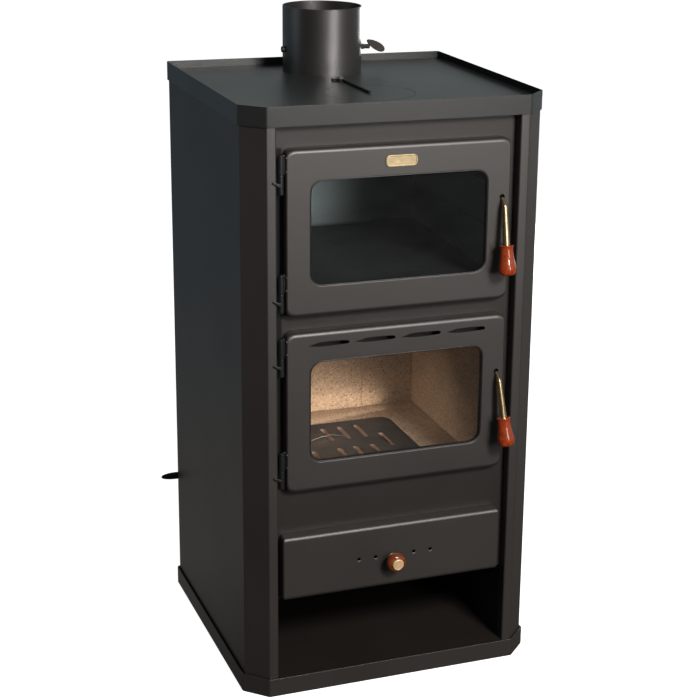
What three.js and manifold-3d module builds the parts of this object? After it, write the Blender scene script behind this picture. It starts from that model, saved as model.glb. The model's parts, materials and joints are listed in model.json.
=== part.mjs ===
// Free-standing wood stove with an oven above the firebox, an ash drawer and an open log bay.
// Millimetres, +Z up. The front faces -Y, and the origin is the middle of the base, on the floor.

import * as THREE from 'three';
import { mergeVertices } from 'three/addons/utils/BufferGeometryUtils.js';
import Module from 'manifold-3d';

const wasm = await Module();
wasm.setup();

// Clearances and the overrun of every cut
const GAP = 0.3;
const RUNNING_GAP = 0.5;
const OVERRUN = 4;

// Outer shell, folded from sheet
const SHELL_WIDTH = 480;
const SHELL_DEPTH = 451;
const SHEET = 2;
const BEND = 3;
const CORNER_CHAMFER = 32;
const FLANGE_WIDTH = 15;
const RETURN_DEPTH = 19;
const REAR_FLANGE = 15;

// Base tray and log bay
const BASE_HEIGHT = 30;
const BASE_GAP = 2;
const LOG_FLOOR_DROP = 0.5;
const LOG_BAY_HEIGHT = 126.5;

// Inner casing
const CASING_SHEET = 2.5;
const REAR_AIR_GAP = 11;
const FRONT_PLATE = 3;
const LOWER_RAIL = 66;
const DOOR_SPACING = 24;
const UPPER_RAIL = 52;
const OPENING_REVEAL = 4;
const OPENING_CORNER = 16;

// Hob and its lid
const HOB_PLATE = 3;
const HOB_GAP = 0.5;
const HOB_BAND = 30;
const HOB_RIM = 12;
const LID_RADIUS = 72;
const LID_LEDGE = 10;
const LID_LEDGE_THICKNESS = 3;

// Flue collar and its damper
const FLUE_RADIUS = 65;
const FLUE_HEIGHT = 107;
const DAMPER_RISE = 37;
const DAMPER_RADIUS = 57;
const DAMPER_PLATE = 2;
const DAMPER_SPINDLE_RADIUS = 3.5;
const DAMPER_NUT_RADIUS = 5;
const DAMPER_NUT_LENGTH = 4;
const DAMPER_SPINDLE_END = 12;
const KEY_LENGTH = 36;
const KEY_HEIGHT = 14;
const KEY_LIFT = 1.2;
const KEY_TILT = -0.52;
const KEY_THICKNESS = 3;
const KEY_HUB_RADIUS = 5;
const KEY_HUB_LENGTH = 16;

// Smoke bypass lever on the hob
const BYPASS_X = -7;
const BYPASS_BEND_X = 3.4;
const BYPASS_BEND_Y = -4.5;
const BYPASS_END_X = 5.8;
const BYPASS_END_Y = -120;
const BYPASS_TAIL_X = -11.6;
const BYPASS_TAIL_Y = 3.5;
const BYPASS_BAR = 5;
const BYPASS_THICKNESS = 4;
const BYPASS_HUB_RADIUS = 7;
const BYPASS_PIN_RADIUS = 3;
const BYPASS_HEAD_RADIUS = 5;
const BYPASS_HEAD_HEIGHT = 3;
const SHUTTER_DROP = 5;
const SHUTTER_PLATE = 2;
const SHUTTER_LENGTH = 50;
const SHUTTER_WIDTH = 44;
const SHUTTER_NUT_RADIUS = 6;
const SHUTTER_NUT_HEIGHT = 3;

// Oven box
const OVEN_SIDE_GAP = 19;
const OVEN_FLOOR_RISE = 35;
const OVEN_TOP_DROP = 9;
const OVEN_BACK_GAP = 42.5;
const RUNNER_REACH = 5;
const RUNNER_HEIGHT = 5;
const RUNNER_END = 10;
const RUNNER_RISES = [63, 133];

// Firebox, its lining and its grate
const FIRE_FLOOR_DROP = 11;
const FLOOR_BOARD = 30;
const BOTTOM_SHEET = 3;
const SIDE_LINING = 23;
const BACK_LINING = 30;
const LINING_BACK_GAP = 70;
const GAS_GAP = 45;
const BACK_SEAM_X = 75;
const GRATE_HALF_WIDTH = 100;
const GRATE_DEPTH = 195;
const GRATE_CENTRE_Y = -17.5;
const GRATE_THICKNESS = 10;
const GRATE_CORNER = 20;
const GRATE_LEDGE = 8;
const GRATE_SLOT_WIDTH = 9;
const ASH_HOLE_MARGIN = 14;
const WIRE_RADIUS = 1.3;
const WIRE_SPAN = 61;
const WIRE_RISE = 6;
const WIRE_X = -34.5;
const WIRE_Y = 3;
const WIRE_TURN = 0.03;

// Doors
const DOOR_SIDE_GAP = 13;
const FIRE_DOOR_HEIGHT = 257;
const OVEN_DOOR_HEIGHT = 255;
const DOOR_DEPTH = 16.5;
const DOOR_SHEET = 2.5;
const DOOR_CORNER = 9;
const DOOR_EDGE = 6;
const WINDOW_SIDE = 38;
const WINDOW_END = 47;
const WINDOW_CORNER = 20;
const WINDOW_EDGE = 1.5;
const GLASS_THICKNESS = 4;
const GLASS_MARGIN = 10;
const RETAINER_THICKNESS = 2;
const RETAINER_LIP = 1.5;
const RETAINER_WIDTH = 15;
const GASKET_WIDTH = 8;
const GASKET_OFFSET = 10.5;
const GASKET_ROUND = 2;
const AIR_SLOT_COUNT = 4;
const AIR_SLOT_HEIGHT = 6;
const AIR_SLOT_DROP = 21;
const BADGE_LENGTH = 50;
const BADGE_HEIGHT = 17;
const BADGE_THICKNESS = 2;
const BADGE_DROP = 25;

// Door hinges
const HINGE_INSET = 7;
const HINGE_DEPTH = 2;
const HINGE_RADIUS = 4.8;
const HINGE_PIN_RADIUS = 2.5;
const HINGE_LENGTH = 58;
const HINGE_TOP_MARGIN = 8;
const HINGE_LOW_MARGIN = 10;
const HINGE_STRAP = 2.5;
const HINGE_STRAP_REACH = 13;
const HINGE_STRAP_HEIGHT = 12;
const HINGE_STRAP_RISE = 12;
const HINGE_TAB_SETBACK = 4;
const HINGE_TAB_THICKNESS = 3;
const HINGE_TAB_DEPTH = 10;

// Door handles and latches
const HANDLE_INSET = 14.5;
const HANDLE_RISE = 162;
const HANDLE_ROD_RADIUS = 3.5;
const HANDLE_STANDOFF = 1;
const HANDLE_BEND = 12;
const HANDLE_LEAN = 0.175;
const HANDLE_CONE_LENGTH = 60;
const HANDLE_CONE_RADIUS = 5.7;
const HANDLE_INNER_LENGTH = 13.5;
const FIRE_HANDLE_TILT = 0.08;
const GRIP_LENGTH = 47.5;
const GRIP_RADIUS = 13.8;
const GRIP_BORE_DEPTH = 12;
const GRIP_SPIGOT_RADIUS = 3;
const TONGUE_DEPTH = 9.5;
const TONGUE_THICKNESS = 2.5;
const TONGUE_LENGTH = 9;
const TONGUE_WIDTH = 6;
const TONGUE_HUB_RADIUS = 5.5;
const KEEPER_SHEET = 1.7;
const KEEPER_HEIGHT = 12;

// Ash drawer
const DRAWER_LIFT = 4;
const DRAWER_TOP_GAP = 7;
const DRAWER_LEFT_GAP = 6.5;
const DRAWER_RIGHT_GAP = 12;
const DRAWER_FRONT_HEIGHT = 106;
const DRAWER_FRONT_DEPTH = 19;
const DRAWER_MOUTH_GAP = 4;
const DRAWER_EDGE = 5;
const DRAWER_PROUD = 1;
const DRAWER_BOX_INSET = 28;
const DRAWER_BOX_HEIGHT = 80;
const DRAWER_BACK_GAP = 103.5;
const DRAWER_SHEET = 1.5;
const DRAWER_HOLE_RISE = 52.5;
const DRAWER_HOLE_RADIUS = 3.5;
const KNOB_X = -4.5;
const KNOB_RISE = 46.5;
const KNOB_STEM_RADIUS = 3;
const KNOB_ROSETTE_RADIUS = 9.5;
const KNOB_RING_RADIUS = 15;
const KNOB_RING_BACK = 9;
const KNOB_RING_LENGTH = 16;
const KNOB_FACE_RADIUS = 9.5;
const KNOB_LENGTH = 28;
const KNOB_NUT_RADIUS = 6;
const KNOB_NUT_LENGTH = 3;

// Rear air register
const AIR_INSET = 43;
const AIR_Z = 203;
const AIR_PLATE_RADIUS = 34;
const AIR_DISC_RADIUS = 32;
const AIR_SHEET = 2;
const AIR_DUCT_RADIUS = 28;
const AIR_HOLE_RADIUS = 8;
const AIR_HOLE_CIRCLE = 19;
const AIR_HOLE_COUNT = 4;
const AIR_STUD_RADIUS = 3;
const AIR_STUD_HEAD = 5;
const AIR_STUD_HEAD_HEIGHT = 3;
const AIR_LEVER_WIDTH = 9;
const AIR_LEVER_REACH = 93.5;
const AIR_CRANK_START = 50;
const AIR_CRANK_RUN = 10;
const AIR_CRANK_STEP = 4;
const AIR_GRIP_LENGTH = 36;
const AIR_GRIP_RADIUS = 6.3;

// Back panel vents
const VENT_WIDTH = 6;
const VENT_HEIGHT = 56;
const VENT_COUNT = 9;
const VENT_PITCH = 26;
const UPPER_VENT_RISE = 780;
const LOWER_VENT_RISE = 330;
const PANEL_MARGIN = 4;
const PANEL_SHEET = 1.5;

// Smoothness of the faceted arcs
const BEND_STEPS = 2;
const CORNER_STEPS = 3;
const BORE_STEPS = 12;
const ROUND_STEPS = 20;
const FLUE_STEPS = 40;
const OVAL_STEPS = 10;
const TUBE_SIDES = 5;
const SLOT_STEPS = 2;
const HEXAGON = 6;

// Places along the hob, as shares of the shell's depth: the lid, the lever's pin and the flue
const hobShares = { lid: -0.18182, pin: 0.070953, flue: 0.32151 };

// Planes worked out from the sizes above, from the floor up
const half = SHELL_WIDTH / 2;
const front = -SHELL_DEPTH / 2;
const back = SHELL_DEPTH / 2;
const innerHalf = half - CORNER_CHAMFER - FLANGE_WIDTH;
const plateFront = front + RETURN_DEPTH;
const plateBack = plateFront + FRONT_PLATE;
const casingBack = back - REAR_AIR_GAP - CASING_SHEET;
const logFloorTop = BASE_HEIGHT - LOG_FLOOR_DROP;
const shelfLow = logFloorTop + LOG_BAY_HEIGHT;
const shelfTop = shelfLow + SHEET;
const drawerLow = shelfTop + DRAWER_LIFT;
const drawerHigh = drawerLow + DRAWER_FRONT_HEIGHT;
const plateLow = drawerHigh + DRAWER_TOP_GAP;
const fireDoorLow = plateLow + LOWER_RAIL;
const fireDoorHigh = fireDoorLow + FIRE_DOOR_HEIGHT;
const ovenDoorLow = fireDoorHigh + DOOR_SPACING;
const ovenDoorHigh = ovenDoorLow + OVEN_DOOR_HEIGHT;
const hobTop = ovenDoorHigh + UPPER_RAIL;
const hobLow = hobTop - HOB_PLATE;
const fireFloor = fireDoorLow - FIRE_FLOOR_DROP;
const boardLow = fireFloor - FLOOR_BOARD;
const bottomLow = boardLow - BOTTOM_SHEET;
const ovenFloor = ovenDoorLow + OVEN_FLOOR_RISE;
const ovenTop = ovenDoorHigh - OVEN_TOP_DROP;
const liningTop = ovenFloor - SHEET - GAS_GAP;
const liningBack = casingBack - LINING_BACK_GAP;
const doorHalf = innerHalf - DOOR_SIDE_GAP;
const windowHalf = doorHalf - WINDOW_SIDE;
const damperZ = hobTop + DAMPER_RISE;
const hingeX = -doorHalf - HINGE_INSET;
const handleX = doorHalf - HANDLE_INSET;
const lidY = hobShares.lid * SHELL_DEPTH;
const bypassY = hobShares.pin * SHELL_DEPTH;
const flueY = hobShares.flue * SHELL_DEPTH;
const airX = AIR_INSET - innerHalf;

// Finishes
function finish(color, roughness, metalness) {
  return () => new THREE.MeshStandardMaterial({ color, roughness, metalness });
}
const blackPaint = finish(0x35312e, 0.5, 0.1);
const hobPaint = finish(0x3c3f3e, 0.38, 0.1);
const darkSteel = finish(0x23211f, 0.6, 0.4);
const rawSteel = finish(0x77746e, 0.45, 0.8);
const brightSteel = finish(0xc9c6be, 0.25, 0.9);
const castIron = finish(0x4b4744, 0.75, 0.3);
const vermiculite = finish(0xc9b28c, 0.95, 0);
const brass = finish(0xc9a04e, 0.25, 0.9);
const grip = finish(0x8d3216, 0.25, 0);
const ropeSeal = finish(0x3a3835, 1, 0);
function glass() {
  return new THREE.MeshStandardMaterial({
    color: 0x3a3f42,
    roughness: 0.08,
    metalness: 0,
    transparent: true,
    opacity: 0.35,
  });
}

// Welds the corners that faces share, and drops the faces that a pole has collapsed
function weld(geometry) {
  const bare = geometry.clone();
  bare.deleteAttribute('normal');
  bare.deleteAttribute('uv');
  const merged = mergeVertices(bare);
  const corners = merged.index.array;
  const kept = [];
  for (let i = 0; i < corners.length; i += 3) {
    const [a, b, c] = corners.slice(i, i + 3);
    if (a !== b && b !== c && c !== a) {
      kept.push(a, b, c);
    }
  }
  merged.setIndex(kept);
  return merged;
}

function toSolid(geometry) {
  const welded = weld(geometry);
  return new wasm.Manifold(new wasm.Mesh({
    numProp: 3,
    vertProperties: new Float32Array(welded.attributes.position.array),
    triVerts: new Uint32Array(welded.index.array),
  }));
}

function toGeometry(solid) {
  const mesh = solid.getMesh();
  const geometry = new THREE.BufferGeometry();
  geometry.setAttribute('position', new THREE.BufferAttribute(mesh.vertProperties, 3));
  geometry.setIndex(new THREE.BufferAttribute(mesh.triVerts, 1));
  const flat = geometry.toNonIndexed();
  flat.computeVertexNormals();
  return flat;
}

function join(first, ...others) {
  return toGeometry(others.reduce((sum, other) => sum.add(toSolid(other)), toSolid(first)));
}

function cut(first, ...others) {
  return toGeometry(others.reduce((rest, other) => rest.subtract(toSolid(other)), toSolid(first)));
}

function piece(name, geometry, material) {
  const mesh = new THREE.Mesh(geometry, material());
  mesh.name = name;
  return mesh;
}

function box(x0, x1, y0, y1, z0, z1) {
  const geometry = new THREE.BoxGeometry(x1 - x0, y1 - y0, z1 - z0);
  geometry.translate((x0 + x1) / 2, (y0 + y1) / 2, (z0 + z1) / 2);
  return geometry;
}

// A rod between two points
function rod(start, end, radius, steps = BORE_STEPS, endRadius = radius) {
  const from = new THREE.Vector3(...start);
  const to = new THREE.Vector3(...end);
  const along = to.clone().sub(from);
  const geometry = new THREE.CylinderGeometry(endRadius, radius, along.length(), steps);
  const upright = new THREE.Vector3(0, 1, 0);
  const turn = new THREE.Quaternion().setFromUnitVectors(upright, along.clone().normalize());
  geometry.applyQuaternion(turn);
  geometry.translate(...from.add(to).multiplyScalar(1 / 2).toArray());
  return geometry;
}

// A flat bar with round ends, between the middles of those ends
function flatBar(x0, y0, x1, y1, width, z0, z1) {
  const length = Math.hypot(x1 - x0, y1 - y0);
  const angle = Math.atan2(y1 - y0, x1 - x0);
  const quarter = Math.PI / 2;
  const shape = new THREE.Shape();
  shape.absarc(length, 0, width / 2, -quarter, quarter, false);
  shape.absarc(0, 0, width / 2, quarter, 3 * quarter, false);
  const geometry = prismZ(shape, z0, z1);
  geometry.rotateZ(angle);
  geometry.translate(x0, y0, 0);
  return geometry;
}

// Prisms: the outline lies across the axis that the prism runs along
function prismZ(shape, z0, z1, options = {}) {
  const settings = { depth: z1 - z0, bevelEnabled: false, curveSegments: CORNER_STEPS, ...options };
  const geometry = new THREE.ExtrudeGeometry(shape, settings);
  geometry.translate(0, 0, z0);
  return geometry;
}

function prismY(shape, y0, y1, options = {}) {
  const settings = { depth: y1 - y0, bevelEnabled: false, curveSegments: CORNER_STEPS, ...options };
  const geometry = new THREE.ExtrudeGeometry(shape, settings);
  geometry.rotateX(Math.PI / 2);
  geometry.translate(0, y1, 0);
  return geometry;
}

function roundedRect(left, right, low, high, radius) {
  const shape = new THREE.Shape();
  const quarter = Math.PI / 2;
  shape.moveTo(left + radius, low);
  shape.lineTo(right - radius, low);
  shape.absarc(right - radius, low + radius, radius, -quarter, 0, false);
  shape.lineTo(right, high - radius);
  shape.absarc(right - radius, high - radius, radius, 0, quarter, false);
  shape.lineTo(left + radius, high);
  shape.absarc(left + radius, high - radius, radius, quarter, 2 * quarter, false);
  shape.lineTo(left, low + radius);
  shape.absarc(left + radius, low + radius, radius, 2 * quarter, 3 * quarter, false);
  return shape;
}

// Turns each corner of an outline into an arc, as a folded sheet or a cut plate has
function roundCorners(points, radius, closed) {
  const count = points.length;
  const rounded = [];
  points.forEach((here, i) => {
    if (!closed && (i === 0 || i === count - 1)) {
      rounded.push(here.clone());
      return;
    }
    const inward = here.clone().sub(points[(i + count - 1) % count]).normalize();
    const onward = points[(i + 1) % count].clone().sub(here).normalize();
    const turn = Math.acos(Math.min(1, inward.dot(onward)));
    const side = Math.sign(inward.cross(onward));
    const start = here.clone().addScaledVector(inward, -radius * Math.tan(turn / 2));
    const toCentre = new THREE.Vector2(-inward.y, inward.x).multiplyScalar(side * radius);
    const centre = start.clone().add(toCentre);
    for (let k = 0; k <= BEND_STEPS; k += 1) {
      rounded.push(start.clone().rotateAround(centre, side * turn * k / BEND_STEPS));
    }
  });
  return rounded;
}

// Moves an open path to its right by a sheet's thickness
function shiftPath(points, distance) {
  return points.map((here, i) => {
    const steps = [];
    if (i > 0) {
      steps.push(here.clone().sub(points[i - 1]).normalize());
    }
    if (i < points.length - 1) {
      steps.push(points[i + 1].clone().sub(here).normalize());
    }
    const normals = steps.map((step) => new THREE.Vector2(step.y, -step.x));
    const sum = normals.reduce((total, normal) => total.add(normal), new THREE.Vector2());
    return here.clone().addScaledVector(sum, 2 * distance / sum.lengthSq() / (normals.length === 2 ? 1 : 2));
  });
}

// The outline of a sheet folded along a path whose bends all turn to the right
function foldedSheet(path, thickness, bend) {
  const outer = roundCorners(path, bend, false);
  const inner = roundCorners(shiftPath(path, thickness), bend - thickness, false);
  return new THREE.Shape([...outer, ...inner.reverse()]);
}

// The plan of the shell, grown outwards by a distance, with its two front corners cut off
function shellPlan(grow, bend) {
  const x = half + grow;
  const y = back + grow;
  const leg = CORNER_CHAMFER + grow * (2 - Math.SQRT2);
  const corners = [[x, y], [-x, y], [-x, leg - y], [leg - x, -y], [x - leg, -y], [x, leg - y]];
  return new THREE.Shape(roundCorners(corners.map(([u, v]) => new THREE.Vector2(u, v)), bend, true));
}

function baseTray() {
  const outer = prismZ(shellPlan(BASE_GAP + SHEET, BEND + SHEET), 0, BASE_HEIGHT);
  const pocket = prismZ(shellPlan(BASE_GAP, BEND), SHEET, BASE_HEIGHT + OVERRUN);
  return piece('base_tray', cut(outer, pocket), blackPaint);
}

// A raised floor whose front and rear edges are folded down onto the base
function logFloor() {
  const side = innerHalf - GAP;
  const y0 = front - BASE_GAP + GAP;
  const y1 = casingBack - GAP;
  const slab = box(-side, side, y0, y1, SHEET, logFloorTop);
  const under = box(-side - OVERRUN, side + OVERRUN, y0 + SHEET, y1 - SHEET, 0, logFloorTop - SHEET);
  return piece('log_floor', cut(slab, under), blackPaint);
}

function sidePanel(name, side) {
  const path = [
    [half - REAR_FLANGE, back],
    [half, back],
    [half, front + CORNER_CHAMFER],
    [half - CORNER_CHAMFER, front],
    [innerHalf, front],
    [innerHalf, plateFront],
  ];
  const outline = foldedSheet(path.map(([x, y]) => new THREE.Vector2(x, y)), SHEET, BEND);
  const points = outline.getPoints().map((point) => new THREE.Vector2(side * point.x, point.y));
  return piece(name, prismZ(new THREE.Shape(points), SHEET, hobLow), blackPaint);
}

function innerSidePlate(name, side) {
  const x0 = side > 0 ? innerHalf : -innerHalf - CASING_SHEET;
  const plate = box(x0, x0 + CASING_SHEET, plateFront + GAP, casingBack - GAP, SHEET, hobLow);
  return piece(name, plate, darkSteel);
}

function innerBackPlate() {
  const side = innerHalf + CASING_SHEET;
  const plate = box(-side, side, casingBack, casingBack + CASING_SHEET, SHEET, hobLow);
  const airHole = rod(
    [airX, casingBack - OVERRUN, AIR_Z],
    [airX, casingBack + CASING_SHEET + OVERRUN, AIR_Z],
    AIR_DUCT_RADIUS,
  );
  return piece('inner_back_plate', cut(plate, airHole), darkSteel);
}

function backPanel() {
  const side = half - PANEL_MARGIN;
  const top = hobTop + HOB_RIM - HOB_BAND - PANEL_MARGIN;
  const plate = box(-side, side, back, back + PANEL_SHEET, SHEET + PANEL_MARGIN, top);
  const cuts = [
    rod([airX, back - OVERRUN, AIR_Z], [airX, back + OVERRUN, AIR_Z], AIR_DUCT_RADIUS),
  ];
  for (const rise of [LOWER_VENT_RISE, UPPER_VENT_RISE]) {
    for (let i = 0; i < VENT_COUNT; i += 1) {
      const x = (i - (VENT_COUNT - 1) / 2) * VENT_PITCH;
      const vent = [x - VENT_WIDTH / 2, x + VENT_WIDTH / 2, back - OVERRUN, back + OVERRUN];
      cuts.push(box(...vent, rise, rise + VENT_HEIGHT));
    }
  }
  return piece('back_panel', cut(plate, ...cuts), blackPaint);
}

// A hook on the front plate that reaches into the door, for the latch tongue to turn behind
function keeper(doorLow) {
  const low = doorLow + HANDLE_RISE - KEEPER_HEIGHT / 2;
  const high = low + KEEPER_HEIGHT;
  const sweep = Math.hypot(TONGUE_LENGTH, TONGUE_WIDTH / 2);
  const armSide = handleX + sweep + RUNNING_GAP;
  const lipSide = handleX + TONGUE_HUB_RADIUS + RUNNING_GAP;
  const lipBack = front + TONGUE_DEPTH - RUNNING_GAP;
  const tip = lipBack - KEEPER_SHEET;
  return join(
    box(armSide, armSide + KEEPER_SHEET, tip, plateFront + FRONT_PLATE / 2, low, high),
    box(lipSide, armSide + KEEPER_SHEET, tip, lipBack, low, high),
  );
}

function doorOpening(doorLow, doorHeight) {
  const side = windowHalf + OPENING_REVEAL;
  const low = doorLow + WINDOW_END - OPENING_REVEAL;
  const high = doorLow + doorHeight - WINDOW_END + OPENING_REVEAL;
  const outline = roundedRect(-side, side, low, high, OPENING_CORNER);
  return prismY(outline, plateFront - OVERRUN, plateBack + OVERRUN);
}

// The way through the front plate for the drawer's box
function drawerMouth() {
  const side = innerHalf - DRAWER_BOX_INSET + DRAWER_MOUTH_GAP;
  const high = shelfTop + DRAWER_BOX_HEIGHT + DRAWER_MOUTH_GAP;
  return box(-side, side, plateFront - OVERRUN, plateBack + OVERRUN, 0, high);
}

function frontPlate() {
  const side = innerHalf - GAP;
  const plate = box(-side, side, plateFront, plateBack, shelfTop + GAP, hobLow);
  const open = cut(
    plate,
    doorOpening(fireDoorLow, FIRE_DOOR_HEIGHT),
    doorOpening(ovenDoorLow, OVEN_DOOR_HEIGHT),
    drawerMouth(),
  );
  return piece('front_plate', join(open, keeper(fireDoorLow), keeper(ovenDoorLow)), blackPaint);
}

// The hob: a flat plate in a deep band, with a stepped hole for the lid and one for the flue
function hobTray() {
  const bandTop = hobTop + HOB_RIM;
  const bandLow = bandTop - HOB_BAND;
  const outer = prismZ(shellPlan(HOB_GAP + SHEET, BEND + SHEET), bandLow, bandTop);
  const above = prismZ(shellPlan(HOB_GAP, BEND), hobTop, bandTop + OVERRUN);
  const below = prismZ(shellPlan(HOB_GAP, BEND), bandLow - OVERRUN, hobLow);
  const tray = cut(outer, above, below);
  const ledgeLow = hobLow - LID_LEDGE_THICKNESS;
  const ledge = rod([0, lidY, ledgeLow], [0, lidY, hobTop], LID_RADIUS + LID_LEDGE, FLUE_STEPS);
  return piece('hob_tray', cut(
    join(tray, ledge),
    rod([0, lidY, hobLow], [0, lidY, hobTop + OVERRUN], LID_RADIUS, FLUE_STEPS),
    rod([0, lidY, ledgeLow - OVERRUN], [0, lidY, hobTop], LID_RADIUS - LID_LEDGE, FLUE_STEPS),
    rod([0, flueY, hobLow - OVERRUN], [0, flueY, hobTop + OVERRUN], FLUE_RADIUS - SHEET, FLUE_STEPS),
    rod(
      [BYPASS_X, bypassY, hobLow - OVERRUN],
      [BYPASS_X, bypassY, hobTop + OVERRUN],
      BYPASS_PIN_RADIUS + GAP,
    ),
  ), hobPaint);
}

function hobLid() {
  const plate = rod([0, lidY, hobLow], [0, lidY, hobTop], LID_RADIUS - GAP, FLUE_STEPS);
  return piece('hob_lid', plate, hobPaint);
}

function flueCollar() {
  const low = [0, flueY, hobTop];
  const high = [0, flueY, hobTop + FLUE_HEIGHT];
  const bore = rod(
    [0, flueY, hobTop - OVERRUN],
    [0, flueY, hobTop + FLUE_HEIGHT + OVERRUN],
    FLUE_RADIUS - SHEET,
    FLUE_STEPS,
  );
  const across = rod(
    [-FLUE_RADIUS - OVERRUN, flueY, damperZ],
    [FLUE_RADIUS + OVERRUN, flueY, damperZ],
    DAMPER_SPINDLE_RADIUS + GAP,
  );
  return piece('flue_collar', cut(rod(low, high, FLUE_RADIUS, FLUE_STEPS), bore, across), blackPaint);
}

// The damper turns about the spindle, so its group stands on the spindle's axis
function damper() {
  const group = new THREE.Group();
  group.position.set(0, flueY, damperZ);
  const nutEnd = -FLUE_RADIUS - RUNNING_GAP;
  const spindleEnd = FLUE_RADIUS + DAMPER_SPINDLE_END;
  const spindle = join(
    rod([nutEnd - DAMPER_NUT_LENGTH, 0, 0], [spindleEnd, 0, 0], DAMPER_SPINDLE_RADIUS),
    rod([nutEnd - DAMPER_NUT_LENGTH, 0, 0], [nutEnd, 0, 0], DAMPER_NUT_RADIUS),
  );
  const discFront = DAMPER_SPINDLE_RADIUS + GAP;
  const disc = rod([0, discFront, 0], [0, discFront + DAMPER_PLATE, 0], DAMPER_RADIUS, FLUE_STEPS);
  const hubStart = FLUE_RADIUS + RUNNING_GAP;
  const hub = rod([hubStart, 0, 0], [hubStart + KEY_HUB_LENGTH, 0, 0], KEY_HUB_RADIUS);
  const oval = new THREE.Shape();
  const ovalX = hubStart + KEY_HUB_LENGTH + KEY_LENGTH / 2 - KEY_HUB_RADIUS;
  oval.absellipse(ovalX, KEY_LIFT, KEY_LENGTH / 2, KEY_HEIGHT / 2, 0, 2 * Math.PI, false, KEY_TILT);
  const blade = prismY(oval, -KEY_THICKNESS / 2, KEY_THICKNESS / 2, { curveSegments: OVAL_STEPS });
  const socket = rod(
    [hubStart - OVERRUN, 0, 0],
    [spindleEnd + GAP, 0, 0],
    DAMPER_SPINDLE_RADIUS + GAP,
  );
  group.add(
    piece('damper_spindle', spindle, darkSteel),
    piece('damper_disc', disc, darkSteel),
    piece('damper_key', cut(join(hub, blade), socket), darkSteel),
  );
  return group;
}

// The bent lever on the hob and the shutter it swings under the plate, about one upright pin
function bypass() {
  const group = new THREE.Group();
  group.position.set(BYPASS_X, bypassY, hobTop);
  const leverLow = GAP;
  const leverTop = leverLow + BYPASS_THICKNESS;
  const hub = rod([0, 0, leverLow], [0, 0, leverTop], BYPASS_HUB_RADIUS, ROUND_STEPS);
  const tail = flatBar(0, 0, BYPASS_TAIL_X, BYPASS_TAIL_Y, BYPASS_BAR, leverLow, leverTop);
  const root = flatBar(0, 0, BYPASS_BEND_X, BYPASS_BEND_Y, BYPASS_BAR, leverLow, leverTop);
  const arm = flatBar(
    BYPASS_BEND_X, BYPASS_BEND_Y,
    BYPASS_END_X, BYPASS_END_Y,
    BYPASS_BAR, leverLow, leverTop,
  );
  const shutterTop = -HOB_PLATE - SHUTTER_DROP;
  const shutterLow = shutterTop - SHUTTER_PLATE;
  const pinBore = rod(
    [0, 0, shutterLow - OVERRUN],
    [0, 0, leverTop + OVERRUN],
    BYPASS_PIN_RADIUS + GAP,
  );
  const headLow = leverTop + GAP;
  const nutTop = shutterLow - GAP;
  const pin = join(
    rod([0, 0, nutTop - SHUTTER_NUT_HEIGHT], [0, 0, headLow + BYPASS_HEAD_HEIGHT / 2], BYPASS_PIN_RADIUS),
    rod(
      [0, 0, headLow],
      [0, 0, headLow + BYPASS_HEAD_HEIGHT],
      BYPASS_HEAD_RADIUS,
      ROUND_STEPS,
      BYPASS_PIN_RADIUS,
    ),
    rod([0, 0, nutTop - SHUTTER_NUT_HEIGHT], [0, 0, nutTop], SHUTTER_NUT_RADIUS, HEXAGON),
  );
  const blade = roundedRect(
    -SHUTTER_WIDTH / 2, SHUTTER_WIDTH / 2,
    -SHUTTER_WIDTH / 4, SHUTTER_LENGTH,
    SHUTTER_WIDTH / 5,
  );
  group.add(
    piece('bypass_lever', cut(join(hub, tail, root, arm), pinBore), darkSteel),
    piece('bypass_pin', pin, brightSteel),
    piece('bypass_shutter', cut(prismZ(blade, shutterLow, shutterTop), pinBore), darkSteel),
  );
  return group;
}

function ovenBox() {
  const side = innerHalf - OVEN_SIDE_GAP;
  const y1 = casingBack - OVEN_BACK_GAP;
  const outer = box(-side - SHEET, side + SHEET, plateBack, y1 + SHEET, ovenFloor - SHEET, ovenTop + SHEET);
  const inner = box(-side, side, plateBack - OVERRUN, y1, ovenFloor, ovenTop);
  const runners = [];
  for (const rise of RUNNER_RISES) {
    for (const hand of [-1, 1]) {
      const x = hand * (side + SHEET / 2);
      const reach = hand * (side - RUNNER_REACH);
      runners.push(box(
        Math.min(x, reach), Math.max(x, reach),
        plateBack + RUNNER_END, y1 - RUNNER_END,
        ovenFloor + rise, ovenFloor + rise + RUNNER_HEIGHT,
      ));
    }
  }
  return piece('oven_box', join(cut(outer, inner), ...runners), darkSteel);
}

// Bottom sheet of the firebox with its ash hole, folded up behind the back lining
function fireboxBottom() {
  const side = innerHalf - GAP;
  const upstand = liningBack + BACK_LINING + GAP;
  const sheet = box(-side, side, plateBack, upstand + CASING_SHEET, bottomLow, boardLow);
  const wall = box(-side, side, upstand, upstand + CASING_SHEET, bottomLow, liningTop);
  const holeX = GRATE_HALF_WIDTH - ASH_HOLE_MARGIN;
  const holeY = GRATE_DEPTH / 2 - ASH_HOLE_MARGIN;
  const ashHole = box(
    -holeX, holeX,
    GRATE_CENTRE_Y - holeY, GRATE_CENTRE_Y + holeY,
    bottomLow - OVERRUN, boardLow + OVERRUN,
  );
  return piece('firebox_bottom', cut(join(sheet, wall), ashHole), darkSteel);
}

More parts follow.
